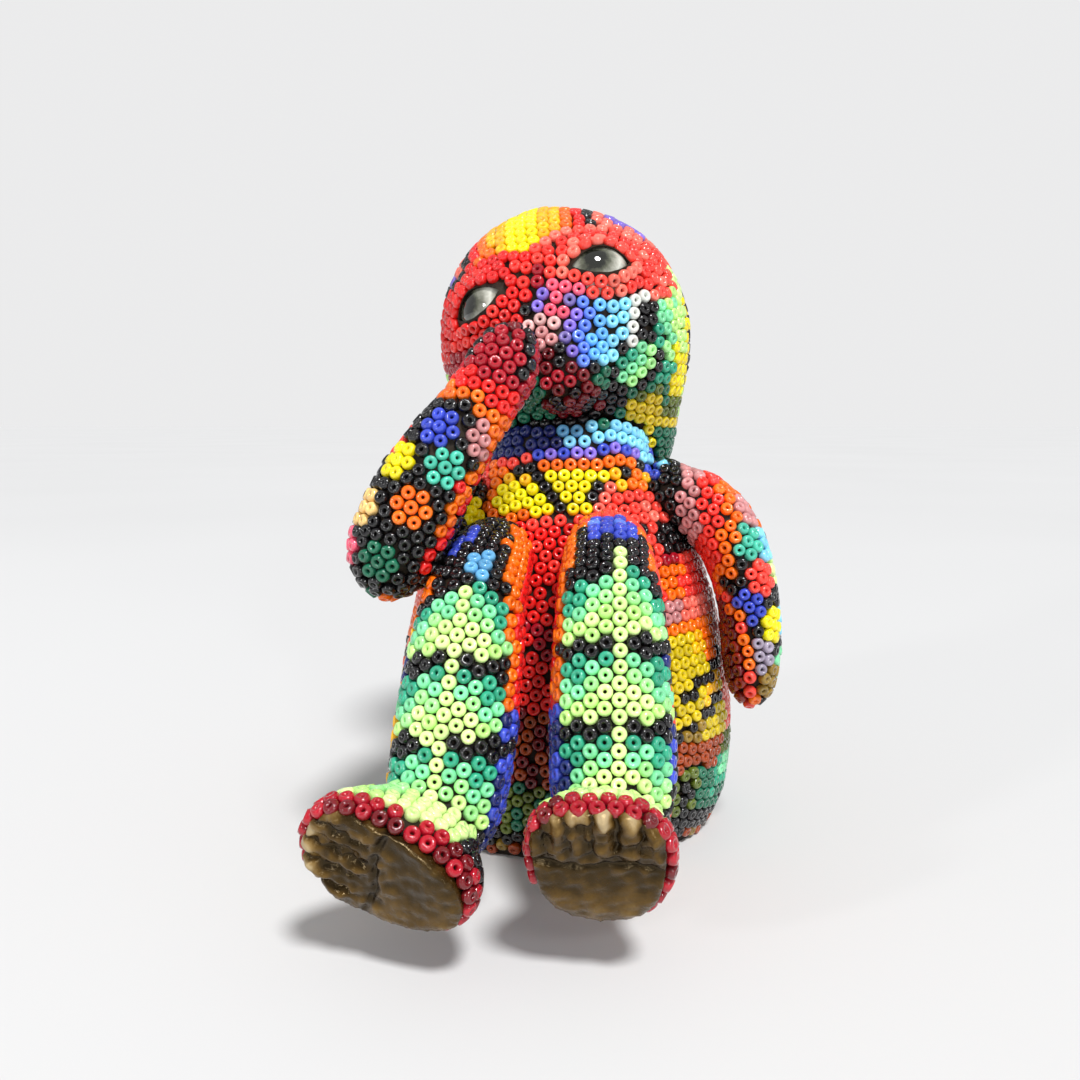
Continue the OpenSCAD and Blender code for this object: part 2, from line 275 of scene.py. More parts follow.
def largest_shell(v, faces):
    """The connected piece with the most points, so that no inner leftovers stay."""
    parent = np.arange(len(v))
    e = face_edges(faces)
    while True:
        low = np.minimum(parent[e[:, 0]], parent[e[:, 1]])
        before = parent.copy()
        np.minimum.at(parent, e[:, 0], low)
        np.minimum.at(parent, e[:, 1], low)
        parent = parent[parent]
        if (parent == before).all():
            break
    root = np.argmax(np.bincount(parent))
    keep = parent == root
    index = np.cumsum(keep) - 1
    return v[keep], [tuple(int(index[i]) for i in f) for f in faces if keep[f[0]]]


def remeshed(v, faces, size):
    o = object_from("skin_work", v, faces, 1.0)
    m = o.modifiers.new("remesh", "REMESH")
    m.mode = "VOXEL"
    m.voxel_size = size
    return evaluated(o)


def subdivided(v, faces):
    o = object_from("skin_work", v, faces, 1.0)
    m = o.modifiers.new("sub", "SUBSURF")
    m.levels = m.render_levels = 1
    return evaluated(o)


def point_normals(v, faces):
    """Outward direction at each vertex of a mesh of triangles and quads."""
    q = np.array([f if len(f) == 4 else f + (f[-1],) for f in faces])
    n = np.cross(v[q[:, 2]] - v[q[:, 0]], v[q[:, 3]] - v[q[:, 1]])
    out = np.zeros_like(v)
    for k in range(4):
        np.add.at(out, q[:, k], n)
    return out / np.maximum(np.linalg.norm(out, axis=1), 1e-12)[:, None]


class Skin:
    """Smooth wax surface of one part."""

    def __init__(self, names, mirror_base=False, shape=None):
        pieces = [mesh_of(n) for n in names]
        if mirror_base:
            # The base is mirrored, so that smoothing keeps the wall straight down to it
            overlap = 0.8
            pieces += [(v * [1, 1, -1] + [0, 0, overlap], [f[::-1] for f in faces]) for v, faces in pieces]
        v, faces = remeshed(*joined(pieces), SKIN_FACE)
        v, faces = largest_shell(v, faces)
        v = smoothed(v, faces, SMOOTH_ROUNDS)
        v, faces = subdivided(v, faces)
        if shape:
            v = shape(v)
        self.v, self.faces = v, faces
        self.n = point_normals(v, faces)
        self.tree = BVHTree.FromPolygons(v.tolist(), faces)

    def near(self, p):
        """(closest point, smooth outward direction there)"""
        loc, _, index, _ = self.tree.find_nearest(Vector(p))
        loc = np.array(loc)
        f = list(self.faces[index])
        w = 1 / (np.linalg.norm(self.v[f] - loc, axis=1) ** 2 + 1e-3)
        return loc, unit((self.n[f] * w[:, None]).sum(0))

    def over(self, p):
        """(place of a bead's middle nearest to p, direction of its hole)"""
        loc, n = self.near(p)
        return loc + n * LIFT, n

    def height(self, p):
        """Height over the skin, negative under it."""
        loc, n = self.near(p)
        return float((np.asarray(p) - loc) @ n)

    def hit(self, origin, direction):
        """Where a ray first meets the skin, or None."""
        loc, _, _, _ = self.tree.ray_cast(Vector(origin), Vector(direction))
        return None if loc is None else np.array(loc)


def lid_coords(p, side):
    """Place in the eye's own axes: along the eyelids, across them, and out."""
    x, y, z = eye_axes(side)
    d = np.asarray(p) - EYES[side][0]
    return np.stack([d @ x, d @ y, d @ z], -1)


def lid_distance(q):
    """Distance outside the almond opening, negative inside it."""
    from_upper = np.hypot(q[..., 0], q[..., 1] - LID_OFF)
    from_lower = np.hypot(q[..., 0], q[..., 1] + LID_OFF)
    return np.maximum(from_upper, from_lower) - LID_R


def raise_lids(v):
    """Pushes the wax up round each eyelid opening."""
    rise, reach = 0.75, 2.2
    out = v.copy()
    for side in EYES:
        q = lid_coords(v, side)
        d = lid_distance(q)
        near = (np.abs(q[:, 2]) < 5) & (d < reach)
        w = np.where(near, np.clip(1 - np.abs(np.maximum(d, -1.2)) / reach, 0, 1) ** 1.5, 0)
        out += (rise * w)[:, None] * EYES[side][1]
    return out


PARTS = ["torso", "head", "arm_right", "arm_left", "leg_right", "leg_left"]


def coat_node(part, kind):
    """Name of a part's CAD node of wax or beads."""
    if part in ("torso", "head"):
        return f"{part}_{kind}"
    limb, side = part.split("_")
    return f"{limb}_{kind}_{side}"


EYE_NODES = [f"eye_{kind}_{side}" for kind in ("glass", "back") for side in ("right", "left")]
skins = {
    "torso": Skin(["torso_core", "torso_wax"], mirror_base=True),
    "head": Skin(["head_core", "head_wax", *EYE_NODES], shape=raise_lids),
}
for side in ("right", "left"):
    skins[f"arm_{side}"] = Skin([f"arm_core_{side}", f"arm_wax_{side}"])
    skins[f"leg_{side}"] = Skin([f"leg_core_{side}", f"leg_wax_{side}", f"sole_{side}"])


# ---- Placing the beads ----

CELL = PITCH * 1.3


class Coat:
    """All beads of the figure, with a grid that finds the ones near a point."""

    def __init__(self):
        self.pos, self.nrm, self.part, self.fixed = [], [], [], []
        self.grid = {}

    def key(self, p):
        return (int(p[0] // CELL), int(p[1] // CELL), int(p[2] // CELL))

    def around(self, p, reach, part=None):
        """(squared distance, number) of each bead within reach of p, on one part or on all."""
        kx, ky, kz = self.key(p)
        out = []
        for i in (kx - 1, kx, kx + 1):
            for j in (ky - 1, ky, ky + 1):
                for k in (kz - 1, kz, kz + 1):
                    for b in self.grid.get((i, j, k), ()):
                        if part is not None and self.part[b] != part:
                            continue
                        q = self.pos[b]
                        d2 = (q[0] - p[0]) ** 2 + (q[1] - p[1]) ** 2 + (q[2] - p[2]) ** 2
                        if d2 < reach * reach:
                            out.append((d2, b))
        return out

    def add(self, p, n, part, fixed):
        self.pos.append(p)
        self.nrm.append(n)
        self.part.append(part)
        self.fixed.append(fixed)
        self.grid.setdefault(self.key(p), []).append(len(self.pos) - 1)
        return len(self.pos) - 1

    def free(self, p, gap):
        return not self.around(p, gap)

    def of(self, part):
        return [b for b in range(len(self.pos)) if self.part[b] == part]


coat = Coat()

# Where a bead's middle may be: over the wax of other parts, over the base, behind the face of a sole, and
# outside the eyelids, which count down to this depth
CLEAR_OF_WAX = 0.7
BASE_CLEAR = 1.0
SOLE_BACK = 1.0
LID_CLEAR = 1.0
LID_DEPTH = -6

# The bare rim under each foot: its depth behind the sole's face, and its top and left end from the middle
BARE_DEPTH = 2.8
BARE_TOP = -3.4
BARE_END = 4.5


def foot_depth(side, p):
    """How far a point lies behind the face of the sole."""
    return float(-((p - SOLES[side][0]) @ SOLES[side][2]))


def allowed(part, p):
    """Whether the middle of one of the part's beads may be at p."""
    for other in PARTS:
        if other != part and skins[other].height(p) < CLEAR_OF_WAX:
            return False
    if part == "torso" and p[2] < BASE_CLEAR:
        return False
    if part == "head":
        for side in EYES:
            q = lid_coords(p, side)
            if q[2] > LID_DEPTH and lid_distance(q) < LID_CLEAR:
                return False
    if part.startswith("leg"):
        side = part[4:]
        depth, low = foot_depth(side, p), p - SOLES[side][0]
        if depth < SOLE_BACK or depth < BARE_DEPTH and low[2] < BARE_TOP and low[0] < BARE_END:
            return False
    return True


def seed_line(part, points, closed=False, gap=0.9):
    """Beads side by side along a line on the part, and the numbers of those beads."""
    line = np.array([skins[part].over(p)[0] for p in points if p is not None])
    if closed:
        line = np.vstack([line, line[:1]])
    steps = np.linalg.norm(np.diff(line, axis=0), axis=1)
    total = steps.sum()
    count = max(1, round(total / PITCH)) if closed else int(total / PITCH) + 1
    spacing = total / count if closed else PITCH
    along = np.concatenate([[0], np.cumsum(steps)])
    made = []
    for k in range(count):
        at = [np.interp(k * spacing, along, line[:, c]) for c in range(3)]
        p, n = skins[part].over(at)
        if allowed(part, p) and coat.free(p, gap * PITCH):
            made.append(coat.add(p, n, part, True))
    return made


def round_about(skin, p, n, angles):
    """(place, direction) on the skin one pitch away from a bead, at each angle round it."""
    u = unit(np.cross(n, [0.31, 0.22, 0.93]))
    v = np.cross(n, u)
    for q in angles:
        yield skin.over(p + PITCH * (math.cos(q) * u + math.sin(q) * v))


def seed_flower(part, p):
    """One bead with six round it."""
    p, n = skins[part].over(p)
    if not allowed(part, p) or not coat.free(p, 0.9 * PITCH):
        return
    ring = list(round_about(skins[part], p, n, [math.radians(60 * k) for k in range(6)]))
    coat.add(p, n, part, True)
    for q, m in ring:
        if allowed(part, q) and coat.free(q, 0.86 * PITCH):
            coat.add(q, m, part, True)


def settle(part, c, a, b, rounds=3):
    """Moves a point on the surface until it is one pitch from both a and b."""
    skin = skins[part]
    for _ in range(rounds):
        da, db = c - a, c - b
        la, lb = np.linalg.norm(da), np.linalg.norm(db)
        c = c + 0.6 * ((PITCH - la) * da / la + (PITCH - lb) * db / lb)
        c, n = skin.over(c)
    return c, n


# In pitches: how far a bead looks for one to pair with, and the room that a new bead's first place needs
PAIR_REACH = 1.35
FIRST_ROOM = 0.7


def grow(part, gap):
    """Fills the part outward from the beads that it has, each new bead touching two others."""
    queue = coat.of(part)
    for i in queue:
        pi, ni = coat.pos[i], coat.nrm[i]
        near = sorted(coat.around(pi, PAIR_REACH * PITCH, part))
        for d2, j in near:
            if j == i:
                continue
            e = coat.pos[j] - pi
            d = math.sqrt(d2)
            across = np.cross(ni, e) / d
            rise = math.sqrt(max(PITCH * PITCH - d2 / 4, 0.1))
            for s in (1, -1):
                c = (pi + coat.pos[j]) / 2 + s * rise * across
                if not coat.free(c, FIRST_ROOM * PITCH):
                    continue
                c, n = settle(part, skins[part].over(c)[0], pi, coat.pos[j])
                if coat.free(c, gap * PITCH) and allowed(part, c):
                    queue.append(coat.add(c, n, part, False))


def nudged(skin, p, reach, step):
    """The middle of the hole in the beads round p, and the skin's direction there."""
    for _ in range(4):
        push = np.zeros(3)
        for d2, j in coat.around(p, reach):
            d = math.sqrt(d2) + 1e-6
            push += (reach - d) * (p - coat.pos[j]) / d
        p, n = skin.over(p + step * push)
    return p, n


def fill_gaps(part, gap):
    """Puts a bead in each hole beside a bead that still takes one."""
    skin = skins[part]
    eighths = [2 * math.pi * k / 8 for k in range(8)]
    for i in coat.of(part):
        for c, _ in round_about(skin, coat.pos[i], coat.nrm[i], eighths):
            if not coat.free(c, 0.6 * PITCH):
                continue
            c, n = nudged(skin, c, 1.04 * PITCH, 0.5)
            if coat.free(c, gap * PITCH) and allowed(part, c):
                coat.add(c, n, part, False)


def fill_holes(part, gap):
    """Looks over the whole wax for holes and gives each a bead."""
    skin = skins[part]
    for c in skin.v + LIFT * skin.n:
        if not coat.free(c, gap * PITCH):
            continue
        c, n = nudged(skin, c, PITCH, 0.4)
        if coat.free(c, gap * PITCH) and allowed(part, c):
            coat.add(c, n, part, False)


# Relaxing: how much of an overlap a round undoes, the longest move, and how near another part's beads count
PUSH = 0.4
LONGEST_MOVE = 0.35
OTHERS_REACH = 3.0


def relax(part, rounds):
    """Pushes crowded beads apart; the beads of the drawn lines stay."""
    skin = skins[part]
    mine = np.array(coat.of(part))
    others = np.array([b for b in range(len(coat.pos)) if coat.part[b] != part], int)
    p = np.array([coat.pos[b] for b in mine])
    rest = np.array([coat.pos[b] for b in others]).reshape(-1, 3)
    if len(rest):
        rest = rest[[skin.tree.find_nearest(Vector(q), OTHERS_REACH)[0] is not None for q in rest]]
    fixed = np.array([coat.fixed[b] for b in mine])
    full = np.vstack([p, rest])
    locked = np.concatenate([fixed, np.ones(len(rest), bool)])
    for _ in range(rounds):
        order = np.argsort(full[:, 0])
        xs = full[order, 0]
        push = np.zeros_like(full)
        ends = np.searchsorted(xs, xs + PITCH, "right")
        for a in range(len(order)):
            b = order[a + 1 : ends[a]]
            if not len(b):
                continue
            d = full[b] - full[order[a]]
            dist = np.sqrt((d**2).sum(1))
            m = dist < PITCH
            if not m.any():
                continue
            d, dist, b = d[m], np.maximum(dist[m], 1e-6), b[m]
            f = (PUSH * (PITCH - dist) / dist)[:, None] * d
            push[b] += f
            push[order[a]] -= f.sum(0)
        push[locked] = 0
        size = np.linalg.norm(push, axis=1)
        push *= np.minimum(1, LONGEST_MOVE / np.maximum(size, 1e-9))[:, None]
        for k in range(len(mine)):
            if not locked[k] and size[k] > 1e-3:
                full[k] = skin.over(full[k] + push[k])[0]
    for k, b in enumerate(mine):
        if not fixed[k]:
            old = coat.key(coat.pos[b])
            q, n = skin.over(full[k])
            if not allowed(part, q):
                continue
            coat.grid[old].remove(b)
            coat.pos[b], coat.nrm[b] = q, n
            coat.grid.setdefault(coat.key(q), []).append(b)


# ---- Lines that the beadwork follows ----

# Rows of beads: how far outside the eyelids' opening, outside the sole's oval and behind the sole's face
LID_ROW_OUT = 1.55
SOLE_ROW_OUT = 0.6
SOLE_ROW_DEPTH = 1.4


def limb_line(part, path, spots):
    """Points on the part's wax along (distance, angle) spots."""
    out = []
    spots = np.array(spots, float)
    for k in range(len(spots) - 1):
        way, turn = np.abs(spots[k + 1] - spots[k])
        steps = max(2, int(way * 2), int(turn * 12))
        for t in np.linspace(0, 1, steps, endpoint=k == len(spots) - 2):
            s, q = spots[k] * (1 - t) + spots[k + 1] * t
            o, d = path.ray(s, q)
            out.append(skins[part].hit(o, d))
    return out


def face_coords(p):
    """Place on the head: along the line of the eyes, up the face, and out of it."""
    d = np.asarray(p) - HEAD_MID
    return float(d @ EYE_LINE), float(d @ FACE_UP), float(d @ FACE_OUT)


def lid_outline(off, count):
    """Points along and across the eyelids' opening, on its outline or a little outside it."""
    r = LID_R + off
    angles = np.linspace(-LID_ANGLE, LID_ANGLE, count, endpoint=False)
    arc = [(r * math.sin(q), r * math.cos(q) - LID_OFF) for q in angles]
    return arc + [(-a, -b) for a, b in arc]


def lid_ring(side):
    """Points for the row of beads round the eyelids."""
    x, y, _ = eye_axes(side)
    return [EYES[side][0] + a * x + b * y for a, b in lid_outline(LID_ROW_OUT, 40)]


def bulged(x, power):
    """A number with its size raised to a power and its own sign."""
    return math.copysign(abs(x) ** power, x)


def sole_ring(side):
    """Points for the ring of beads round the sole, an oval that is wider at the toes."""
    at, _, _, w, l = SOLES[side]
    x, y, z = sole_axes(side)
    out = []
    for k in range(96):
        q = 2 * math.pi * k / 96
        a = (0.93 * w / 2 + SOLE_ROW_OUT) * bulged(math.sin(q), 0.85) * (1 + 0.1 * math.cos(q))
        b = (0.93 * l / 2 + SOLE_ROW_OUT) * bulged(math.cos(q), 0.9)
        out.append(at + a * x + b * y - SOLE_ROW_DEPTH * z)
    return out


def spine_angle(side, s):
    """Angle round the leg of its spine of lime beads."""
    along, angles = {"left": ((14, 52), (0.3, 0.17)), "right": ((26, 50), (0.05, -0.08))}[side]
    return float(np.interp(s, along, angles))


# Flowers of seven beads: (distance along the arm, angle round it, colour)
RIGHT_FLOWERS = [
    (20.6, -0.15, "royal"), (18.4, 1.15, "rose"), (26.4, -0.74, "yellow"), (24.4, 0.5, "sea"),
    (30.5, 0.2, "orange"), (33.3, -1.0, "pale_gold"), (38.2, -0.08, "green"),
    (24, -1.7, "coral"), (31, -1.95, "sky"), (38.5, -1.2, "pink"), (39.5, -2.3, "lime"),
    (22, -2.7, "mint"), (31, -2.9, "yellow"), (38, 2.9, "orange"), (29, 2.5, "royal"),
]
UPPER_FLOWERS = [
    (8, 0.2, "orange"), (15, -0.6, "royal"), (9, 1.6, "mint"), (17, 1.1, "yellow"), (10, -1.9, "coral"),
    (18, -2.2, "sea"), (14, 2.7, "rose"), (24, 0.6, "lime"), (25, 2.4, "sky"),
]
LEFT_FLOWERS = [
    (21.8, 0.86, "rose"), (25.4, 0.26, "sea"), (26.5, 0.98, "sky"), (30.9, 0.34, "coral"),
    (34.9, -0.06, "royal"), (37.8, 0.6, "yellow"), (42.4, 0.12, "lilac"), (46.2, 0.62, "old_gold"),
    (23, 1.75, "orange"), (30.5, 1.5, "lime"), (33.5, 2.3, "pink"), (37.5, 1.55, "sky"),
    (41.5, 2.4, "coral"), (44, 1.5, "mint"), (26.5, 2.6, "royal"), (19, 2.6, "yellow"),
]


def flower_field(part, path, flowers):
    """Sets the flowers on an arm and gives back their middles with their colours."""
    out = []
    for s, q, colour in flowers:
        o, d = path.ray(s, q)
        p = skins[part].hit(o, d)
        if p is not None:
            p = skins[part].over(p)[0]
            seed_flower(part, p)
            out.append((p, colour))
    return out


# Legs: the ring round each sole and the spine down each shin
for side in ("right", "left"):
    leg = f"leg_{side}"
    seed_line(leg, sole_ring(side), closed=True)
    seed_line(leg, limb_line(leg, LEG_PATH[side], [(s, spine_angle(side, s)) for s in range(9, 61, 3)]))

# Head: a row round each eye, a leaning row down the cheek, and one over the crown
for side in EYES:
    seed_line("head", lid_ring(side), closed=True)
cheek = [HEAD_MID + (13.7 + 0.37 * (b + 2.7)) * EYE_LINE + b * FACE_UP for b in np.arange(-1.2, -15, -0.4)]
seed_line("head", [skins["head"].hit(p, FACE_OUT) for p in cheek])
crown = [math.cos(q) * FACE_OUT + math.sin(q) * FACE_UP for q in np.radians(np.arange(38, 150, 1.5))]
seed_line("head", [skins["head"].hit(HEAD_MID + 0.6 * EYE_LINE, d) for d in crown])

# Torso: the lowest row, an oval just over the base
base_turns = np.linspace(0, 2 * math.pi, 360, endpoint=False)
seed_line("torso", [(24.6 * math.sin(q), -22 * math.cos(q), 1.1) for q in base_turns], closed=True)

flowers = {"arm_right": flower_field("arm_right", FOREARM, RIGHT_FLOWERS)}
flowers["arm_right"] += flower_field("arm_right", UPPER_ARM, UPPER_FLOWERS)
flowers["arm_left"] = flower_field("arm_left", LEFT_ARM, LEFT_FLOWERS)

# The least distance to the next bead, in pitches, as rows grow, then as gaps and holes are filled
GROW_GAP = 0.93
FILL_GAPS = (0.86, 0.8)
HOLE_GAPS = (0.71, 0.73)

for part in PARTS:
    grow(part, GROW_GAP)
    for gap in FILL_GAPS:
        fill_gaps(part, gap)
        relax(part, 5)
    fill_holes(part, HOLE_GAPS[0])
    relax(part, 9)
    fill_holes(part, HOLE_GAPS[1])


# ---- Patterns: each gives the colour of the bead at a place ----


def band(value, limits, beyond=None):
    """What stands beside the first limit that is above the value."""
    return next((found for limit, found in limits if value < limit), beyond)


def wave(x, period):
    """Triangle wave from 0 to 1."""
    t = (x / period) % 1
    return 2 * min(t, 1 - t)


def inside(poly, x, y):
    """Whether a point lies in a closed outline of points."""
    odd = False
    for (x0, y0), (x1, y1) in zip(poly, poly[1:] + poly[:1]):
        if (y0 > y) != (y1 > y) and x < x0 + (y - y0) / (y1 - y0) * (x1 - x0):
            odd = not odd
    return odd


def off_line(x, y, x0, y0, x1, y1):
    """Distance of a point from a straight piece of line."""
    dx, dy = x1 - x0, y1 - y0
    t = min(1, max(0, ((x - x0) * dx + (y - y0) * dy) / (dx * dx + dy * dy)))
    return math.hypot(x - x0 - t * dx, y - y0 - t * dy)


# Rough radii of the limbs, which turn an angle round a limb into a distance across it
LEG_R = 8.5
FOREARM_R = 7
LEFT_ARM_R = 6.4

# Ends of the three leaves on each shin, as distances along the leg
LEAVES = {
    "left": ((24.4, 32.3), (34.1, 41.9), (43.6, 52.5)),
    "right": ((26.0, 34.5), (36.1, 44.1), (45.6, 55.0)),
}


def paint_leg(side, p, r):
    """s runs down the leg, w across its front from the middle, and c from the spine."""
    s, q, _ = LEG_PATH[side].local(p)
    sign = 1 if side == "left" else -1
    w = q * LEG_R
    c = (q - spine_angle(side, s)) * LEG_R
    edge = abs(c)
    if foot_depth(side, p) < 3.7 or p[2] < 9:
        return "crimson" if r > 0.25 else "dark_red"
    if abs(q) > 2.2:  # the back of the calf
        return ("orange", "black", "yellow", "black", "sea")[int((s + 2.5 * wave(q, 0.8)) / 3.2) % 5]
    inner, outer = -sign * w, sign * w
    if inner > 5.4 and s < band(inner, ((6.2, 19), (7.6, 24), (9.0, 30)), 40):
        return "orange" if inner < 11.5 else "red"
    if side == "left":
        if s < 14.6:
            return "coral"
        if s < 20.4 and abs(w - 0.4) < 4.9:
            return "royal" if r > 0.25 else "blue"
        if s < 24.2 and outer > 5.2:
            return "black" if outer < 7.4 else ("orange" if outer < 10 else "coral")
        if outer > 12.6:
            return "black" if outer < 14.4 else ("coral" if outer < 17 else "orange")
        along, top = s, 22.6
    else:
        if s < 14 or (s < 19 and outer > 6.5):
            return "black"
        if off_line(w, s, -2, 15, -5.4, 21.5) < 1.9 and s < 22.5:
            return "royal"
        if outer > 7.4 and s < 26.5 or outer > 9.6 and s < 29:
            return "orange" if r > 0.3 else "amber"
        if 20.8 < s < 25 and -1.2 < c < 4.2 and s > 20.8 + 0.9 * abs(c - 1.2) - 0.6:
            return "steel"
        if outer > 11:
            return "amber" if s % 6 < 4.2 else "black"
        along, top = s + 0.12 * max(w, 0), 26.0
    if edge < 1.05 and s > top:
        return "lime"
    shade = "royal" if r > 0.35 else "navy"
    for k, (start, end) in enumerate(LEAVES[side]):
        first = start + (0.26 if k == 0 else 0.12) * edge
        if not first <= along < end:
            continue
        if k > 0 and inner > 7.4 and side == "left" or inner > 9.2 and k > 0:
            return shade
        if outer > 11.2 and k == 2 or edge > 12.4:
            return shade
        t = (along - first) / (end - first) - (0.3 if edge > 6.4 else 0)
        lower_half = "lime_leaf" if edge > 6.2 or r > 0.72 else "lime"
        return band(t, ((0.1, "teal"), (0.34, "mint"), (0.5, "leaf")), lower_half)
    if edge > 9.6 and along > LEAVES[side][0][1] and r > 0.35:
        return "navy"
    return "black"


# How far the colour of a flower reaches from its middle
FLOWER_R = 1.32 * PITCH


def paint_flowers(part, p):
    for at, colour in flowers[part]:
        if np.linalg.norm(at - p) < FLOWER_R:
            return colour
    return None


def paint_right_arm(p, n, r):
    """s runs from the fingertips to the elbow, and w across the forearm."""
    s, q, far = FOREARM.local(p)
    far_from_upper = UPPER_ARM.local(p)[2]
    if far_from_upper + 0.5 < far and s > 30:
        return paint_flowers("arm_right", p) or "black"
    w = q * FOREARM_R
    if s < 11.2:
        if s < 1.9 or 6.2 < abs(w) < 9.6 and s < 9.5:
            return "black"
        # A few rose beads at random on the crimson hand are painted highlights.
        return "crimson" if r > 0.22 else ("dark_red" if r > 0.08 else "rose")
    if s < 13.9:
        return "red"
    if s < 16.3 and abs(q) < 2.4:
        return "orange"
    if q > 1.0:
        edge = 8.0 + (3.6 * (s - 16) / 4.5 if s < 20.5 else 3.6 - 0.42 * (s - 20.5))
        if abs(w - edge) < 1.35 and s < 40:
            return "orange"
        if -3.6 < w - edge < -1.3 and s > 24:
            return "red"
        if 1.3 < w - edge < 3.4:
            return "red"
    colour = paint_flowers("arm_right", p)
    if colour:
        return colour
    if s > 43.6 and n[2] < -0.55:
        return "green" if q < 0 else "orange"
    return "black"


# The front edge of the left arm: (distances along the arm, places across it)
ARM_EDGE = ((24, 28, 33, 36.5, 41, 47, 52), (-7.5, -6, -4, -2, -1, -0.2, 0.3))


def paint_left_arm(p, r):
    """s runs down the arm, and w across it; lean is the distance in front of the arm's edge line."""
    x, _, z = p
    s, q, _ = LEFT_ARM.local(p)
    w = q * LEFT_ARM_R
    if s < 11 and x < 18.4:
        return "sky" if z > 59.6 else ("royal" if z > 57 else "black")
    if x < 20.4 and z > 44:
        return "black" if x < 19 else "rose"
    if z > 44.8 - 0.5 * (x - 22) and abs(q) < 2.3 and x < 28.2:
        if x < 22.7:
            return "rose"
        return "red_coral" if x < 25.3 else "orange"
    lean = 6 * q - float(np.interp(s, *ARM_EDGE))
    if s > 24 and lean < 1.1 and 6 * q > -13:
        if lean > -1.15:
            return "orange" if r > 0.3 else "coral"
        if s < 33:
            return "orange" if r > 0.5 else "red_coral"
        return "blood" if r > 0.3 else "dark_red"
    if 26.8 < s < 29.6 and -3.4 < w < -0.6:
        return "sky"
    return paint_flowers("arm_left", p) or "black"


MID_PETAL = [(-3.9, 60.0), (-1, 61.6), (4, 62.0), (9, 61.5), (12.2, 60.4), (4.6, 55.2), (1.3, 54.2)]
LEFT_PETAL = [(-11, 60), (-6.4, 59.6), (0.9, 54.0), (2.8, 54.4), (11, 60.0), (5.2, 53.4), (3, 52), (-11, 52)]
RIGHT_PETAL = [(8.0, 57.6), (11, 59.4), (14.5, 58.0), (16.2, 55.6), (12, 55.9)]


def paint_chest(x, z, r):
    """Three petals under a blue collar."""
    if off_line(x, z, -5.4, 60.2, 1.2, 54.6) < 0.85 or off_line(x, z, 12.4, 59.9, 5.4, 55.6) < 0.7:
        return "black"
    if inside(MID_PETAL, x, z):
        if z > 60.9:
            return "pink" if r > 0.4 else "coral"
        return "orange" if z > 60 or x > 10.4 else ("amber" if z > 59 or x < -2.8 or x > 9 else "yellow")
    if inside(LEFT_PETAL, x, z):
        if z < 52.7:
            return "orange"
        return "orange" if z > 58.2 and x < 0 or x < -9.4 else ("amber" if z > 57.2 and x < 0 else "yellow")
    if inside(RIGHT_PETAL, x, z):
        return "amber" if r > 0.4 else "orange"
    if z > 66.4:
        return "black" if x < 7 else "green"
    if z > 61.2 or (x > 12.6 and z > 58.4):
        low = 58.4 if x > 12.6 else 61.2
        if x < 1:
            return "navy" if z > low + 2.2 or x < -3 else ("violet" if r > 0.6 else "royal")
        if z > low + 2.2:
            return "sky" if x > 3.5 or r > 0.5 else "steel"
        return "royal" if r > 0.35 else "violet"
    if x > 11 and z > 56.6:
        return "pink" if r > 0.5 else "coral"
    if z > 52 and x > 3:
        return "coral" if r > 0.3 else "salmon"
    return "coral" if z > 50.5 else "red"


def paint_torso(p, r):
    x, y, z = p
    turn = math.degrees(math.atan2(x, -y))
    if z < 2.3:
        return "rust" if wave(turn, 9) > 0.35 else "old_gold"
    if abs(x) < 7 and y < 0 and z < 51:
        if z > 24:
            return "red" if r > 0.25 else ("red_coral" if z > 40 else "crimson")
        if z > 13:
            return "dark_red" if r > 0.5 else "rust"
        return "black" if z < 4.6 else ("olive" if r > 0.4 else "green")
    if z > 50.5 and -80 < turn < 80:
        return paint_chest(x, z, r)
    leg = min(skins["leg_left"].height(p), skins["leg_right"].height(p))
    if y < 0 and z > 14 and leg < 2.4:
        return "black" if z > 22 else "navy"
    if y < 0 and z > 26 and leg < 4.6:
        return "orange" if z < 44 else "coral"
    t = 90 - abs(abs(turn) - 90)  # the back repeats the front
    if t < 44:
        return paint_back(t, z)
    if z < 5.4:
        return "black"
    if z < 13.4 - 0.03 * (t - 50):
        if t < 58:
            return "black" if r > 0.6 or z < 7 else "olive"
        if z < 7.6:
            return "green"
        return "green" if t < 66 else ("teal" if z < 9.6 or t < 72 else "mint")
    rim = t > 76
    if z < 17.6:
        return "coral" if rim and z > 16 else ("rust" if t < 72 else "olive")
    low = z - 19.8 - 0.19 * (t - 53)
    high = z - 24.6 - 0.19 * (t - 53)
    if abs(high) < 0.9 and t < 80 or abs(low) < 0.8 and t < 74:
        return "black"
    if rim and z < 37:
        return "salmon" if z > 19 or r > 0.5 else "pale_gold"
    if low < 0:
        return "old_gold" if t < 60 else "mustard"
    if high < 0:
        return "mustard" if t < 62 else ("yellow" if r > 0.6 else "amber")
    return band(z, (
        (34.2, "mustard" if t < 60 or z < 30.5 and t < 66 else ("amber" if t < 67 else "orange")),
        (36.4, "orange"),
        (39.6, "salmon" if t > 56 else "rose"),
        (44.2, "red_coral" if r > 0.55 or t > 70 else "orange"),
        (46.8, "crimson" if t < 64 else "coral"),
        (50.4, "black" if t > 54 else "crimson"),
        (54, "coral"),
        (58, "orange" if t > 66 else "yellow"),
        (60.4, "black"),
        (63.4, "royal"),
    ), "sky")


def paint_back(t, z):
    """A tall flower of nested leaves on a black ground."""
    if z < 5.4:
        return "black"
    d = math.hypot(t / 2.1, (z - 30) / 1.25) - 1.2 * wave(math.atan2(z - 30, t), 0.7)
    ground = band((z - 0.22 * t) % 14, ((2, "black"), (6, "coral"), (10, "orange")), "mustard")
    flower = ((2.6, "yellow"), (5.2, "orange"), (7.4, "black"), (11, "royal"), (14.2, "sky"), (16.2, "black"))
    return band(d, flower, ground)


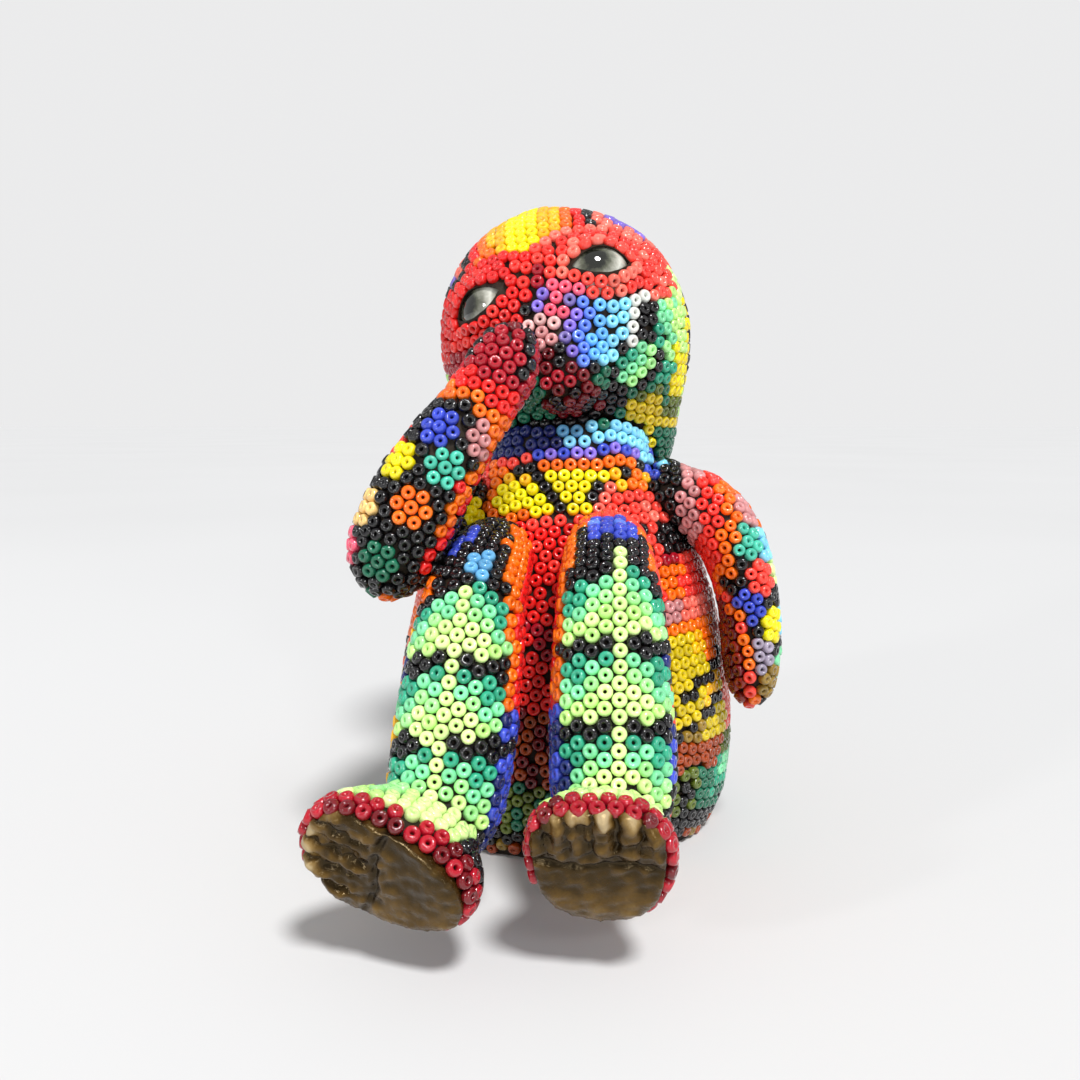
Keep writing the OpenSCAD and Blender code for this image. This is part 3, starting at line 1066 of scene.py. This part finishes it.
def paint_crown(a):
    """Rays from the forehead back over the top of the head."""
    return band(abs(a - 0.6), ((3.4, "yellow"), (5.4, "amber"), (8.2, "orange"), (9.6, "red")))


# The leaning bars on the cheek: (where each ends, colour)
CHEEK_BARS = ((5.6, "violet"), (7.5, "blue"), (9.9, "sky_blue"), (13.5, "sky"), (15.3, "white"))


def paint_face(p, a, b, r):
    """a runs along the line of the eyes, b up the face, and c across the leaning bars on the cheek."""
    ql, qr = lid_coords(p, "left"), lid_coords(p, "right")
    dl, dr = float(lid_distance(ql)), float(lid_distance(qr))
    low = float(np.interp(a, [1, 3, 6, 9.5, 13, 20], [5.2, 3.4, 2.0, 0.1, -0.6, -0.8]))
    if b > low and a > 2.2 and (dl < 2.6 or dl < 6.8 and ql[1] > 0 or b < low + 4.6 and a > 1):
        if b < low + 1.7 and a < 12.4:
            return "pink" if r > 0.3 else "coral"
        return "red_coral" if dl > 2.6 and dl < 4.6 else ("coral" if r > 0.35 else "salmon")
    if dr < 2.7 or dr < 4.9 and b > 0:
        return "red" if r > 0.3 else "red_coral"
    if low < b <= 9.2 and a > 8:
        return "coral" if r > 0.35 else "red_coral"
    if b > 9.2:
        if b > 11.2 or a > 4.5:
            return paint_crown(a) or ("black" if b > 14.6 and a > 0 or a < -8 else "salmon")
        return "red" if a < 3 else "red_coral"
    if math.hypot(a - 3, b) < 1.75:
        return "pink"
    if b > 0.2 and -2.6 < a <= 2.2:
        if a < 0.4 and b < 4.4:
            return "black" if r > 0.45 else "grey"
        return "violet" if b < 3.4 else "crimson"
    if a <= -2.6:
        return "red" if b > 0.4 else ("crimson" if b > -6 else "green")
    c = a - 0.37 * (b + 2.7)
    if b > -9.4 + 0.32 * max(a - 7, 0) and 4.4 < c < 17.4:
        for limit, colour in CHEEK_BARS:
            cut_short = colour == "white" and b < -8.6 or c > 12.4 and b < -7
            if c < limit and not cut_short:
                return colour
        return "black"
    if c < 4.4 and b > -9:
        if b < -5:
            return "black" if c > 2.4 else "dark_red"
        return ("pale_pink" if b > -2.6 else "rose") if a < 3.1 else "violet_grey"
    if a < 5.4:
        return "dark_red" if r > 0.35 else ("black" if b < -12 else "crimson")
    if b > -10.6 + 0.42 * max(a - 7, 0) and a < 14.5:
        return "black"
    if b < -14.4 and 8.4 < a < 13.6:
        return "mustard" if r > 0.2 else "yellow"
    if a < 8.8:
        return "black" if r > 0.6 else "green"
    if b < -13.4:
        return "green" if r > 0.4 or a > 14 else "olive"
    if a > 17.2 and b > -15:
        return "yellow" if b < -8 else ("lime_leaf" if a > 18.6 else "mint")
    if a > 15.6 and b > -10:
        return "teal" if a < 16.6 else "leaf"
    return band((a * 0.7 - b * 0.75) % 6.2, ((2.4, "teal"), (4, "mint"), (5, "leaf")), "black")


def paint_head(p, r):
    a, b, out = face_coords(p)
    az = math.degrees(math.atan2(a, out + 4))
    if b > 11.5 and out < 14:
        colour = paint_crown(a)
        if colour:
            return colour
        if b > 12.5:
            return band(abs(a - 0.6), ((11, "black"), (13, "salmon")), "violet")
    if abs(az) < 60 or (abs(a) < 18.6 and out > 6):
        return paint_face(p, a, b, r)
    if b > 9.5:
        return ("black", "navy", "violet", "salmon")[int(abs(az) / 9) % 4]
    if b > 0.5:
        if abs(az) < 74:
            return "coral" if b > 5 or abs(az) < 66 else "lime"
        return band(b - 3 * wave(az, 30), ((0.6, "black"), (2.5, "yellow"), (4.5, "orange")), "red")
    if b < -19:
        return "green"
    side = abs(az) - 54
    if side < 30:
        if b < -15:
            return "mustard" if b < -17 else "olive"
        return band(side, ((7, "mint"), (17, "lime_leaf" if b > -8 else "yellow"), (24, "yellow")), "black")
    steps = ((6, "black"), (13, "teal"), (21, "mint"), (28, "leaf"), (36, "lime_leaf"))
    return band((side - 30 + 0.8 * b) % 44, steps, "mustard" if b < -12 else "yellow")


def paint(part, p, n, r):
    """Name of the colour of the bead at p, where n is its direction and r its own chance from 0 to 1."""
    if part == "torso":
        return paint_torso(p, r)
    if part == "head":
        return paint_head(p, r)
    if part == "arm_right":
        return paint_right_arm(p, n, r)
    if part == "arm_left":
        return paint_left_arm(p, r)
    return paint_leg(part[4:], p, r)


# ---- Materials ----

# Families of colours, one mesh each on every part: {colour: linear red, green, blue}
PALETTE = {
    "black": {"black": (0.007, 0.006, 0.007), "grey": (0.15, 0.13, 0.15)},
    "blue": {
        "navy": (0.014, 0.022, 0.15), "royal": (0.045, 0.075, 0.56), "blue": (0.12, 0.24, 0.85),
        "sky_blue": (0.14, 0.48, 0.95), "sky": (0.24, 0.69, 0.95), "steel": (0.12, 0.38, 0.65),
        "violet": (0.24, 0.16, 0.68), "violet_grey": (0.17, 0.13, 0.38),
    },
    "green": {
        "green": (0.012, 0.14, 0.075), "teal": (0.03, 0.36, 0.21), "sea": (0.07, 0.52, 0.37),
        "mint": (0.22, 0.76, 0.38), "leaf": (0.38, 0.86, 0.30), "lime_leaf": (0.54, 0.91, 0.25),
        "lime": (0.69, 0.94, 0.34), "olive": (0.10, 0.14, 0.015),
    },
    "yellow": {
        "yellow": (0.97, 0.79, 0.003), "amber": (0.96, 0.48, 0.004), "mustard": (0.66, 0.50, 0.006),
        "old_gold": (0.28, 0.17, 0.02), "pale_gold": (0.86, 0.56, 0.20),
    },
    "orange": {"orange": (0.97, 0.155, 0.004), "rust": (0.32, 0.045, 0.004)},
    "red": {
        "red": (0.82, 0.014, 0.012), "red_coral": (0.93, 0.036, 0.025), "coral": (0.95, 0.062, 0.042),
        "crimson": (0.40, 0.006, 0.018), "dark_red": (0.15, 0.004, 0.008), "blood": (0.27, 0.012, 0.004),
    },
    "pale": {
        "white": (0.84, 0.86, 0.80), "pink": (0.95, 0.11, 0.19), "pale_pink": (0.80, 0.46, 0.44),
        "rose": (0.60, 0.25, 0.25), "salmon": (0.93, 0.17, 0.12), "lilac": (0.34, 0.29, 0.38),
    },
}
SHADES = (0.86, 1.0, 1.1)


def set_sockets(node, **values):
    """Constants on a node's own sockets, with _ for the spaces in their names."""
    for name, value in values.items():
        node.inputs[name.replace("_", " ")].default_value = value


def new_material(name):
    """A new material with its node tree, its shader, and the object's own coordinates."""
    m = bpy.data.materials.new(name)
    m.use_nodes = True
    t = m.node_tree
    coord = t.nodes.new("ShaderNodeTexCoord")
    return m, t, t.nodes["Principled BSDF"], coord.outputs["Object"]


def noise_node(t, vector, scale, detail=4.0, rough=0.5):
    n = t.nodes.new("ShaderNodeTexNoise")
    set_sockets(n, Scale=scale, Detail=detail, Roughness=rough)
    t.links.new(vector, n.inputs["Vector"])
    return n.outputs["Fac"]


def vector_node(t, operation, vector, other=None):
    """Vector maths with a socket and a constant; a length or a dot product comes out as a value."""
    n = t.nodes.new("ShaderNodeVectorMath")
    n.operation = operation
    t.links.new(vector, n.inputs[0])
    if other is not None:
        n.inputs[1].default_value = other
    return n.outputs["Value" if operation in ("LENGTH", "DOT_PRODUCT") else "Vector"]


def times_plus(t, value, factor, other=None):
    """A value times a factor, plus another value."""
    n = t.nodes.new("ShaderNodeMath")
    n.operation = "MULTIPLY_ADD"
    t.links.new(value, n.inputs[0])
    n.inputs[1].default_value = factor
    n.inputs[2].default_value = 0
    if other is not None:
        t.links.new(other, n.inputs[2])
    return n.outputs["Value"]


def ramp_node(t, fac, stops, target):
    r = t.nodes.new("ShaderNodeValToRGB")
    while len(r.color_ramp.elements) < len(stops):
        r.color_ramp.elements.new(0.5)
    for e, (at, rgb) in zip(r.color_ramp.elements, stops):
        e.position = at
        e.color = (*rgb, 1)
    t.links.new(fac, r.inputs["Fac"])
    t.links.new(r.outputs["Color"], target)


def bump_node(t, height, strength, distance, target):
    b = t.nodes.new("ShaderNodeBump")
    set_sockets(b, Strength=strength, Distance=distance)
    t.links.new(height, b.inputs["Height"])
    t.links.new(b.outputs["Normal"], target)


def range_node(t, fac, low, high, target):
    """Stretches a noise, which is mostly between 0.3 and 0.7, to a range."""
    r = t.nodes.new("ShaderNodeMapRange")
    set_sockets(r, From_Min=0.3, From_Max=0.7, To_Min=low, To_Max=high)
    t.links.new(fac, r.inputs["Value"])
    t.links.new(r.outputs["Result"], target)


def bead_material(name, rgb, rough):
    """Opaque bead glass: one colour, glossy, very slightly uneven."""
    m, t, b, at = new_material(name)
    set_sockets(b, Base_Color=(*rgb, 1), Roughness=rough, Coat_Weight=0.35, Coat_Roughness=0.03)
    bump_node(t, noise_node(t, at, 2600, 2), 0.12, 0.00005, b.inputs["Normal"])
    return m


def wax_material():
    """Dark kneaded wax between the beads."""
    m, t, b, at = new_material("bees_wax")
    fac = noise_node(t, at, 420, 6, 0.6)
    ramp_node(t, fac, [(0.36, (0.006, 0.0035, 0.002)), (0.66, (0.026, 0.014, 0.006))], b.inputs["Base Color"])
    range_node(t, fac, 0.50, 0.68, b.inputs["Roughness"])
    bump_node(t, noise_node(t, at, 1470, 5, 0.6), 0.5, 0.00025, b.inputs["Normal"])
    set_sockets(b, Specular_IOR_Level=0.25)
    return m


def wood_material(name, dark, light):
    """Bare wood with rings of two tones."""
    m, t, b, at = new_material(name)
    w = t.nodes.new("ShaderNodeTexWave")
    w.wave_type = "RINGS"
    set_sockets(w, Scale=90, Distortion=3.5, Detail=3)
    t.links.new(at, w.inputs["Vector"])
    ramp_node(t, w.outputs["Fac"], [(0.1, dark), (0.9, light)], b.inputs["Base Color"])
    range_node(t, noise_node(t, at, 900), 0.55, 0.75, b.inputs["Roughness"])
    bump_node(t, w.outputs["Fac"], 0.2, 0.0002, b.inputs["Normal"])
    return m


def sole_material():
    """Kneaded wax, coloured by a stored value: painted highlight, pale, on the toe crests and painted shade,
    near black, in the grooves and the crease.
    """
    m, t, b, at = new_material("sole_wax")
    tone_glint_and_shade = t.nodes.new("ShaderNodeAttribute")
    tone_glint_and_shade.attribute_name = "tone_glint_and_shade"
    shade = times_plus(t, noise_node(t, at, 480, 5, 0.65), 0.4, tone_glint_and_shade.outputs["Fac"])
    # Near black for the painted shade in the grooves, pale tan for the painted highlight on the crests
    stops = [
        (0.30, (0.006, 0.003, 0.001)), (0.50, (0.024, 0.012, 0.002)), (0.68, (0.088, 0.047, 0.010)),
        (0.86, (0.22, 0.14, 0.05)), (1.0, (0.38, 0.29, 0.16)),
    ]
    ramp_node(t, shade, stops, b.inputs["Base Color"])
    range_node(t, noise_node(t, at, 260, 3), 0.14, 0.32, b.inputs["Roughness"])
    bump_node(t, noise_node(t, at, 900, 5, 0.6), 0.5, 0.0003, b.inputs["Normal"])
    set_sockets(b, Specular_IOR_Level=0.5, Specular_Tint=(1.0, 0.74, 0.40, 1))
    return m


def iris_material():
    """Painted disc: dark pupil, grey streaked iris, dark rim."""
    m, t, b, at = new_material("eye_paint")
    flat = vector_node(t, "MULTIPLY", at, (1, 1, 0))
    streak = noise_node(t, vector_node(t, "NORMALIZE", flat), 9, 5, 0.7)
    reach = times_plus(t, vector_node(t, "LENGTH", flat), 1 / (IRIS_R * MM), times_plus(t, streak, 0.16))
    stops = [
        (0.0, (0.004, 0.004, 0.004)), (0.40, (0.005, 0.005, 0.005)), (0.46, (0.10, 0.085, 0.05)),
        (0.66, (0.27, 0.25, 0.18)), (0.84, (0.11, 0.10, 0.07)), (0.98, (0.02, 0.018, 0.015)),
    ]
    ramp_node(t, reach, stops, b.inputs["Base Color"])
    range_node(t, streak, 0.2, 0.4, b.inputs["Roughness"])
    bump_node(t, streak, 0.3, 0.0002, b.inputs["Normal"])
    return m


def glass_material(side):
    """Glass with the painted iris seen through it, round the eye's own axis; the colour also holds painted
    light, dark round a pupil set off the middle and pale in a band beyond it.
    """
    m, t, b, at = new_material(f"eye_glass_{side}")
    x, y, _ = eye_axes(side)
    mid = EYES[side][0] + PUPIL_AND_SHADE_AT[0] * x + PUPIL_AND_SHADE_AT[1] * y
    off = vector_node(t, "SUBTRACT", at, mid * MM)
    across = t.nodes.new("ShaderNodeCombineXYZ")
    for axis, socket in ((x, "X"), (y, "Y")):
        t.links.new(vector_node(t, "DOT_PRODUCT", off, axis / MM), across.inputs[socket])
    flat = across.outputs["Vector"]
    streak = noise_node(t, vector_node(t, "NORMALIZE", flat), 3, 3, 0.6)
    uneven = times_plus(t, streak, 0.3, noise_node(t, at, 420, 4, 0.6))
    reach = times_plus(t, vector_node(t, "LENGTH", flat), 1 / GLASS_IRIS_R, times_plus(t, uneven, 0.34))
    # The pale band is painted light falling through the glass onto the iris, and the dark pupil set off the
    # middle is painted shade on that side
    stops = [
        (0.0, (0.006, 0.007, 0.005)), (0.42, (0.012, 0.013, 0.009)), (0.50, (0.09, 0.095, 0.065)),
        (0.60, (0.27, 0.27, 0.22)), (0.74, (0.66, 0.66, 0.58)), (0.88, (0.24, 0.22, 0.17)),
        (0.96, (0.04, 0.035, 0.027)),
    ]
    ramp_node(t, reach, stops, b.inputs["Base Color"])
    set_sockets(b, Roughness=0.05, Coat_Weight=1.0, Coat_Roughness=0.02)
    bump_node(t, noise_node(t, at, 500, 2), 0.04, 0.0001, b.inputs["Normal"])
    return m


def floor_material():
    """Matt pale grey with very faint patches."""
    m, t, b, at = new_material("floor")
    stops = [(0.3, (0.63, 0.63, 0.63)), (0.7, (0.65, 0.65, 0.65))]
    ramp_node(t, noise_node(t, at, 3, 2), stops, b.inputs["Base Color"])
    set_sockets(b, Roughness=0.8, Specular_IOR_Level=0.1)
    return m


def dress(o, material, smooth=False):
    o.data.materials.clear()
    o.data.materials.append(material)
    if smooth:
        o.data.polygons.foreach_set("use_smooth", [True] * len(o.data.polygons))


def stand_for(o, slot, *names):
    """Puts an object on the body in place of CAD nodes; the slot argument is not used."""
    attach(o, ROOT)
    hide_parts(*names)


# ---- Beads ----

# How much single beads differ: lean, size, depth in the wax, and the least and most size where room differs
TILT_SPREAD = 0.07
SIZE_SPREAD = 0.012
DEPTH_SPREAD = 0.04
SIZE_RANGE = (0.92, 1.05)


def ring_shape():
    """Vertices and faces of one bead, a squat ring with its hole along z."""
    v, f = [], []
    mid, half = (RING_R + HOLE_R) / 2, (RING_R - HOLE_R) / 2
    for i in range(AROUND):
        q = 2 * math.pi * i / AROUND
        for j in range(PROFILE):
            w = 2 * math.pi * (j + 0.5) / PROFILE
            c, s = math.cos(w), math.sin(w)
            r = mid + half * bulged(c, 0.95)
            z = HALF_H * bulged(s, 0.9)
            v.append((r * math.cos(q), r * math.sin(q), z))
            a, b = i * PROFILE + j, i * PROFILE + (j + 1) % PROFILE
            c2, d = ((i + 1) % AROUND) * PROFILE + (j + 1) % PROFILE, ((i + 1) % AROUND) * PROFILE + j
            f.append((a, d, c2, b))
    return np.array(v), np.array(f)


RING_V, RING_F = ring_shape()


def near_room(p):
    """Mean distance of the three nearest other beads."""
    near = sorted(d2 for d2, _ in coat.around(p, 1.25 * PITCH))[1:4]
    return sum(math.sqrt(d2) for d2 in near) / len(near) if near else PITCH


def unit_rows(v):
    return v / np.linalg.norm(v, axis=1)[:, None]


def bead_object(name, beads, shades, materials):
    """One mesh with a ring for each bead; shades gives each one's material."""
    count = len(beads)
    nv, nf = len(RING_V), len(RING_F)
    pos = np.array([coat.pos[b] for b in beads])
    nrm = np.array([coat.nrm[b] for b in beads])
    z = unit_rows(nrm + rng.normal(0, TILT_SPREAD, (count, 3)))
    x = unit_rows(np.cross(z, rng.normal(0, 1, (count, 3))))
    y = np.cross(z, x)
    room = np.array([near_room(p) for p in pos])
    size = np.clip(room / PITCH + 0.02, *SIZE_RANGE)[:, None] * rng.normal(1, SIZE_SPREAD, (count, 1))
    pos = pos + nrm * rng.normal(0, DEPTH_SPREAD, (count, 1))
    ring = RING_V[None]
    flat = ring[:, :, 0:1] * x[:, None, :] + ring[:, :, 1:2] * y[:, None, :]
    v = (pos[:, None, :] + size[:, :, None] * flat + ring[:, :, 2:3] * z[:, None, :]).reshape(-1, 3) * MM
    f = (RING_F[None] + (np.arange(count) * nv)[:, None, None]).reshape(-1)
    me = bpy.data.meshes.new(name)
    me.vertices.add(len(v))
    me.vertices.foreach_set("co", v.astype(np.float32).ravel())
    me.loops.add(len(f))
    me.loops.foreach_set("vertex_index", f.astype(np.int32))
    me.polygons.add(count * nf)
    me.polygons.foreach_set("loop_start", np.arange(0, len(f), 4, dtype=np.int32))
    me.polygons.foreach_set("material_index", np.repeat(np.array(shades, np.int32), nf))
    me.update(calc_edges=True)
    me.polygons.foreach_set("use_smooth", np.ones(count * nf, bool))
    for m in materials:
        me.materials.append(m)
    me.update()
    return placed(name, me)


# ---- Wax ----

# The wax stays this far behind the face of a sole and over the floor
SOLE_DEPTH = 1.5
WAX_BASE = 0.1

# The edges that a cut leaves stay sharp where they bend more than this
SHARP = math.radians(55)

# The cutters at each eye: back and front of the eyelids' opening, gap round the glass, and back of its pocket
LID_CUT = (-2.4, 6)
POCKET_GAP = 0.05
POCKET_BACK = GLASS_BACK - 0.7


def cut_flat(me, height):
    """Takes away what is below a height and closes the mesh there."""
    bm = bmesh.new()
    bm.from_mesh(me)
    geom = bm.verts[:] + bm.edges[:] + bm.faces[:]
    got = bmesh.ops.bisect_plane(bm, geom=geom, plane_co=(0, 0, height), plane_no=(0, 0, 1), clear_inner=True)
    rim = [e for e in got["geom_cut"] if isinstance(e, bmesh.types.BMEdge)]
    bmesh.ops.edgeloop_fill(bm, edges=rim)
    bm.to_mesh(me)
    bm.free()
    me.set_sharp_from_angle(angle=SHARP)


def eye_opening(side):
    """Cutters: one with the outline of the eyelids, and behind it a round pocket for the glass."""
    x, y, z = eye_axes(side)
    at = EYES[side][0]
    outline = lid_outline(0, 20)
    n = len(outline)
    v = [at + a * x + b * y + d * z for d in LID_CUT for a, b in outline]
    faces = [tuple(range(n)), tuple(range(2 * n - 1, n - 1, -1))]
    faces += [(k, k + n, (k + 1) % n + n, (k + 1) % n) for k in range(n)]
    yield object_from("cut", v, faces)
    dome = DOME_R + POCKET_GAP
    angles = np.linspace(math.asin(min(1, EYE_R / DOME_R)), 0.12, 8)
    rows = [(dome * math.sin(q), DOME_RISE + POCKET_GAP - dome * (1 - math.cos(q))) for q in angles]
    around = 48
    turns = np.arange(around) * 2 * math.pi / around
    v = []
    for r, d in [(EYE_R + POCKET_GAP, POCKET_BACK), *rows]:
        v += [at + r * math.cos(q) * x + r * math.sin(q) * y + d * z for q in turns]
    faces = [tuple(range(around - 1, -1, -1)), tuple(range(len(v) - around, len(v)))]
    for i in range(0, len(v) - around, around):
        for k in range(around):
            m = (k + 1) % around
            faces.append((i + k, i + m, i + around + m, i + around + k))
    yield object_from("cut", v, faces)


def eyes_opened(o):
    """The head's wax with both eyes cut out of it."""
    cutters = [c for side in EYES for c in eye_opening(side)]
    for c in cutters:
        mod = o.modifiers.new("cut", "BOOLEAN")
        mod.operation = "DIFFERENCE"
        mod.solver = "EXACT"
        mod.object = c
    me = with_modifiers(o)
    for c in cutters:
        bpy.data.objects.remove(c)
    o.modifiers.clear()
    o.data = me
    me.set_sharp_from_angle(angle=SHARP)
    return o


BEAD_SLOT = {"torso": "beads_warm", "head": "beads_red", "arm": "beads_dark", "leg": "beads_green"}

# Bead glass of each colour in three shades, the paler ones a little rougher
GLASS = {}
for family, colours in PALETTE.items():
    for colour, rgb in colours.items():
        GLASS[colour] = [
            bead_material(f"glass_{colour}_{k}", [min(0.95, c * shade) for c in rgb], 0.1 + 0.03 * k)
            for k, shade in enumerate(SHADES)
        ]


def add_beads(part):
    """The part's rings, with one object for each family of colours."""
    mine = coat.of(part)
    names = {b: paint(part, coat.pos[b], coat.nrm[b], float(rng.random())) for b in mine}
    for family, colours in PALETTE.items():
        chosen = [b for b in mine if names[b] in colours]
        if not chosen:
            continue
        order = [c for c in colours if any(names[b] == c for b in chosen)]
        shades = [len(SHADES) * order.index(names[b]) + int(rng.integers(len(SHADES))) for b in chosen]
        o = bead_object(f"beads_{part}_{family}", chosen, shades, [m for c in order for m in GLASS[c]])
        stand_for(o, BEAD_SLOT[part.split("_")[0]], coat_node(part, "beads"))


def add_wax(part):
    """The part's smooth wax, drawn back behind a sole, flat under the base and open at the eyes."""
    v = skins[part].v
    if part.startswith("leg"):
        at, _, z, _, _ = SOLES[part[4:]]
        depth = -((v - at) @ z)
        v = v - np.clip(SOLE_DEPTH - depth, 0, SOLE_DEPTH + 0.5)[:, None] * z
    o = object_from(f"wax_skin_{part}", v, skins[part].faces)
    if part == "torso":
        cut_flat(o.data, WAX_BASE * MM)
    if part == "head":
        o = eyes_opened(o)
    dress(o, wax)
    stand_for(o, "bees_wax", coat_node(part, "wax"))


wax = wax_material()
for part in PARTS:
    add_beads(part)
    add_wax(part)
print("beads", len(coat.pos))

# ---- Wood ----

wood = wood_material("carved_wood", (0.30, 0.17, 0.08), (0.50, 0.33, 0.17))
dowel_wood = wood_material("dowel_wood", (0.45, 0.32, 0.18), (0.62, 0.47, 0.28))
for name, o in nodes.items():
    if "_core" in name:
        dress(o, wood)
    if "dowel" in name:
        dress(o, dowel_wood)

# ---- Soles ----

sole_wax = sole_material()
SOLE_FACE = 0.26
TOES = {"right": 5.5, "left": 6.5}


def sole_object(side):
    """The waxed sole with its toes pressed in, from the CAD plate."""
    v, faces = remeshed(*mesh_of(f"sole_{side}"), SOLE_FACE)
    v, faces = largest_shell(v, faces)
    v = smoothed(v, faces, 3, 0.3)
    n = point_normals(v, faces)
    at, _, _, w, l = SOLES[side]
    x, y, z = sole_axes(side)
    d = v - at
    a, b = d @ x, d @ y
    u = b / l  # from -0.5 at the heel to 0.5 at the toes
    front = np.clip(n @ z, 0, 1)

    # Toes: wavy lanes side by side, which end at a crease across the ball of the foot
    lane = (a / w + 0.5) * TOES[side] + 0.2 * np.sin(b * 0.7) * (a / w) + 0.07 * np.sin(b * 2.6 + a)
    ridge = np.abs(np.sin(math.pi * lane)) ** 0.45
    toe = np.clip((u - 0.05) / 0.10, 0, 1)
    crease = np.exp(-(((u - 0.02 - 0.02 * np.sin(a * 0.5)) / 0.02) ** 2))
    rise = toe * (1.5 * ridge - 1.0) * (0.75 + 0.25 * np.sin(a * 1.3 + 2)) - 0.55 * crease

    # A swell between the crease and the heel
    rise += 0.45 * np.clip(-u / 0.3, 0, 1) * (1 - np.clip((-u - 0.3) / 0.2, 0, 1))
    lower = np.clip((-d[:, 2] - 1.5) / 4, 0, 1)

    # Waves in random directions, as from kneading with a thumb, weaker towards the heel
    kneaded = np.zeros(len(v))
    for _ in range(10):
        q = rng.uniform(0, math.pi)
        f = rng.uniform(0.3, 2.4)
        kneaded += 0.1 / f**0.5 * np.sin(f * (a * math.cos(q) + b * math.sin(q)) * 2 + rng.uniform(0, 6.28))
    kneaded *= 1 - 0.55 * np.clip(-u / 0.1, 0, 1)
    rise += 0.8 * kneaded

    # The rim swells outward below and between the toes
    far = np.maximum(np.hypot(a, b), 0.1)
    out = (1 - front) * (0.9 * lower + 0.6 * toe * ridge)
    v = v + (front * rise)[:, None] * z + (out / far)[:, None] * (a[:, None] * x + b[:, None] * y)
    v = smoothed(v, faces, 1, 0.3)
    # The stored colour value: paler where the kneaded wax rises and lower down, painted highlight along the
    # toe crests, strongest towards the toes' end, and painted shade in the grooves and the crease
    tone_glint_and_shade = 0.30 + 0.35 * kneaded + 0.16 * lower + toe * (0.45 * (ridge - 0.75)) - 0.3 * crease
    tone_glint_and_shade += 0.42 * np.clip((u - 0.28) / 0.12, 0, 1) * ridge
    o = object_from(f"sole_skin_{side}", v, faces)
    layer = o.data.attributes.new("tone_glint_and_shade", "FLOAT", "POINT")
    layer.data.foreach_set("value", np.clip(tone_glint_and_shade, 0, 1).astype(np.float32))
    return o


for side in SOLES:
    o = sole_object(side)
    dress(o, sole_wax)
    stand_for(o, "sole_wax", f"sole_{side}")

# ---- Eyes ----


def disc_object(side):
    """Closed disc, a little hollow in front, standing on the eye's axis at the back of the glass."""
    rings, around = 10, 48
    angles = [2 * math.pi * k / around for k in range(around)]
    pts = [(0, 0, -DISC_DISH)]
    for i in range(1, rings + 1):
        f = i / rings
        r = DISC_R * f
        pts += [(r * math.cos(q), r * math.sin(q), -DISC_DISH * (1 - f * f)) for q in angles]
    pts += [(x, y, -DISC_THICK) for x, y, _ in pts[-around:]]
    pts.append((0, 0, -DISC_THICK))
    faces = [(0, 1 + k, 1 + (k + 1) % around) for k in range(around)]
    for lo in range(1, 1 + rings * around, around):
        for k in range(around):
            m = (k + 1) % around
            faces.append((lo + k, lo + around + k, lo + around + m, lo + m))
    back_ring = 1 + rings * around
    faces += [(back_ring + k, len(pts) - 1, back_ring + (k + 1) % around) for k in range(around)]
    o = object_from(f"eye_iris_{side}", np.array(pts), faces)
    x, y, z = eye_axes(side)
    at = EYES[side][0] + (GLASS_BACK - 0.02) * z
    o.matrix_world = Matrix([(x[i], y[i], z[i], at[i] * MM) for i in range(3)] + [(0, 0, 0, 1)])
    return o


iris = iris_material()
for side in EYES:
    o = disc_object(side)
    dress(o, iris)
    stand_for(o, "eye_paint", f"eye_back_{side}")
    dress(nodes[f"eye_glass_{side}"], glass_material(side), True)

# ---- Stage, light and camera ----

FLOOR_REACH = 20000
corners = [(x * FLOOR_REACH, y * FLOOR_REACH, 0) for x, y in ((-1, -1), (1, -1), (1, 1), (-1, 1))]
floor = object_from("floor", corners, [(0, 1, 2, 3)])
dress(floor, floor_material())


def aimed(name, data, at, direction):
    """A light or camera at a place in metres, looking in a direction."""
    o = placed(name, data)
    o.location = at
    o.rotation_mode = "QUATERNION"
    o.rotation_quaternion = Vector(direction).to_track_quat("-Z", "Y")
    return o


sun = bpy.data.lights.new("sun", "SUN")
sun.energy = 3.35
sun.angle = math.radians(11)
aimed("sun", sun, (0, 0, 0), (-0.35, 0.55, -1.0))

# Two small square lights that look at the figure's middle and make the crisp glints
FIGURE_MIDDLE = Vector((0, -0.02, 0.05))
for name, at in (("glint_left", (-0.45, -0.50, 0.25)), ("glint_right", (0.30, -0.62, 0.22))):
    lamp = bpy.data.lights.new(name, "AREA")
    lamp.size = 0.06
    lamp.energy = 0.8
    aimed(name, lamp, at, FIGURE_MIDDLE - Vector(at))

# The camera sees a plain backdrop of the far floor's tone, while the figure is lit by a dimmer pale sky
world = bpy.data.worlds.new("world")
bpy.context.scene.world = world
world.use_nodes = True
wt = world.node_tree
shown = wt.nodes["Background"]
lit = wt.nodes.new("ShaderNodeBackground")
set_sockets(shown, Color=(0.86, 0.86, 0.865, 1), Strength=0.97)
set_sockets(lit, Color=(0.97, 0.98, 1, 1), Strength=0.45)
path = wt.nodes.new("ShaderNodeLightPath")
both = wt.nodes.new("ShaderNodeMixShader")
wt.links.new(path.outputs["Is Camera Ray"], both.inputs["Fac"])
wt.links.new(lit.outputs["Background"], both.inputs[1])
wt.links.new(shown.outputs["Background"], both.inputs[2])
wt.links.new(both.outputs["Shader"], wt.nodes["World Output"].inputs["Surface"])
bpy.context.scene.view_settings.view_transform = "Standard"

# The camera's place in millimetres, and its angles: azimuth from the front, and elevation
CAMERA_AT = Vector((18.39, -160.08, 66.64))
AZ, EL = math.radians(8), math.radians(7)
cam = bpy.data.cameras.new("camera")
cam.lens = 31.67
cam.sensor_width = 36
cam.clip_start = 0.005
cam.clip_end = 100
look = (-math.sin(AZ) * math.cos(EL), math.cos(AZ) * math.cos(EL), -math.sin(EL))
bpy.context.scene.camera = aimed("camera", cam, CAMERA_AT * MM, look)
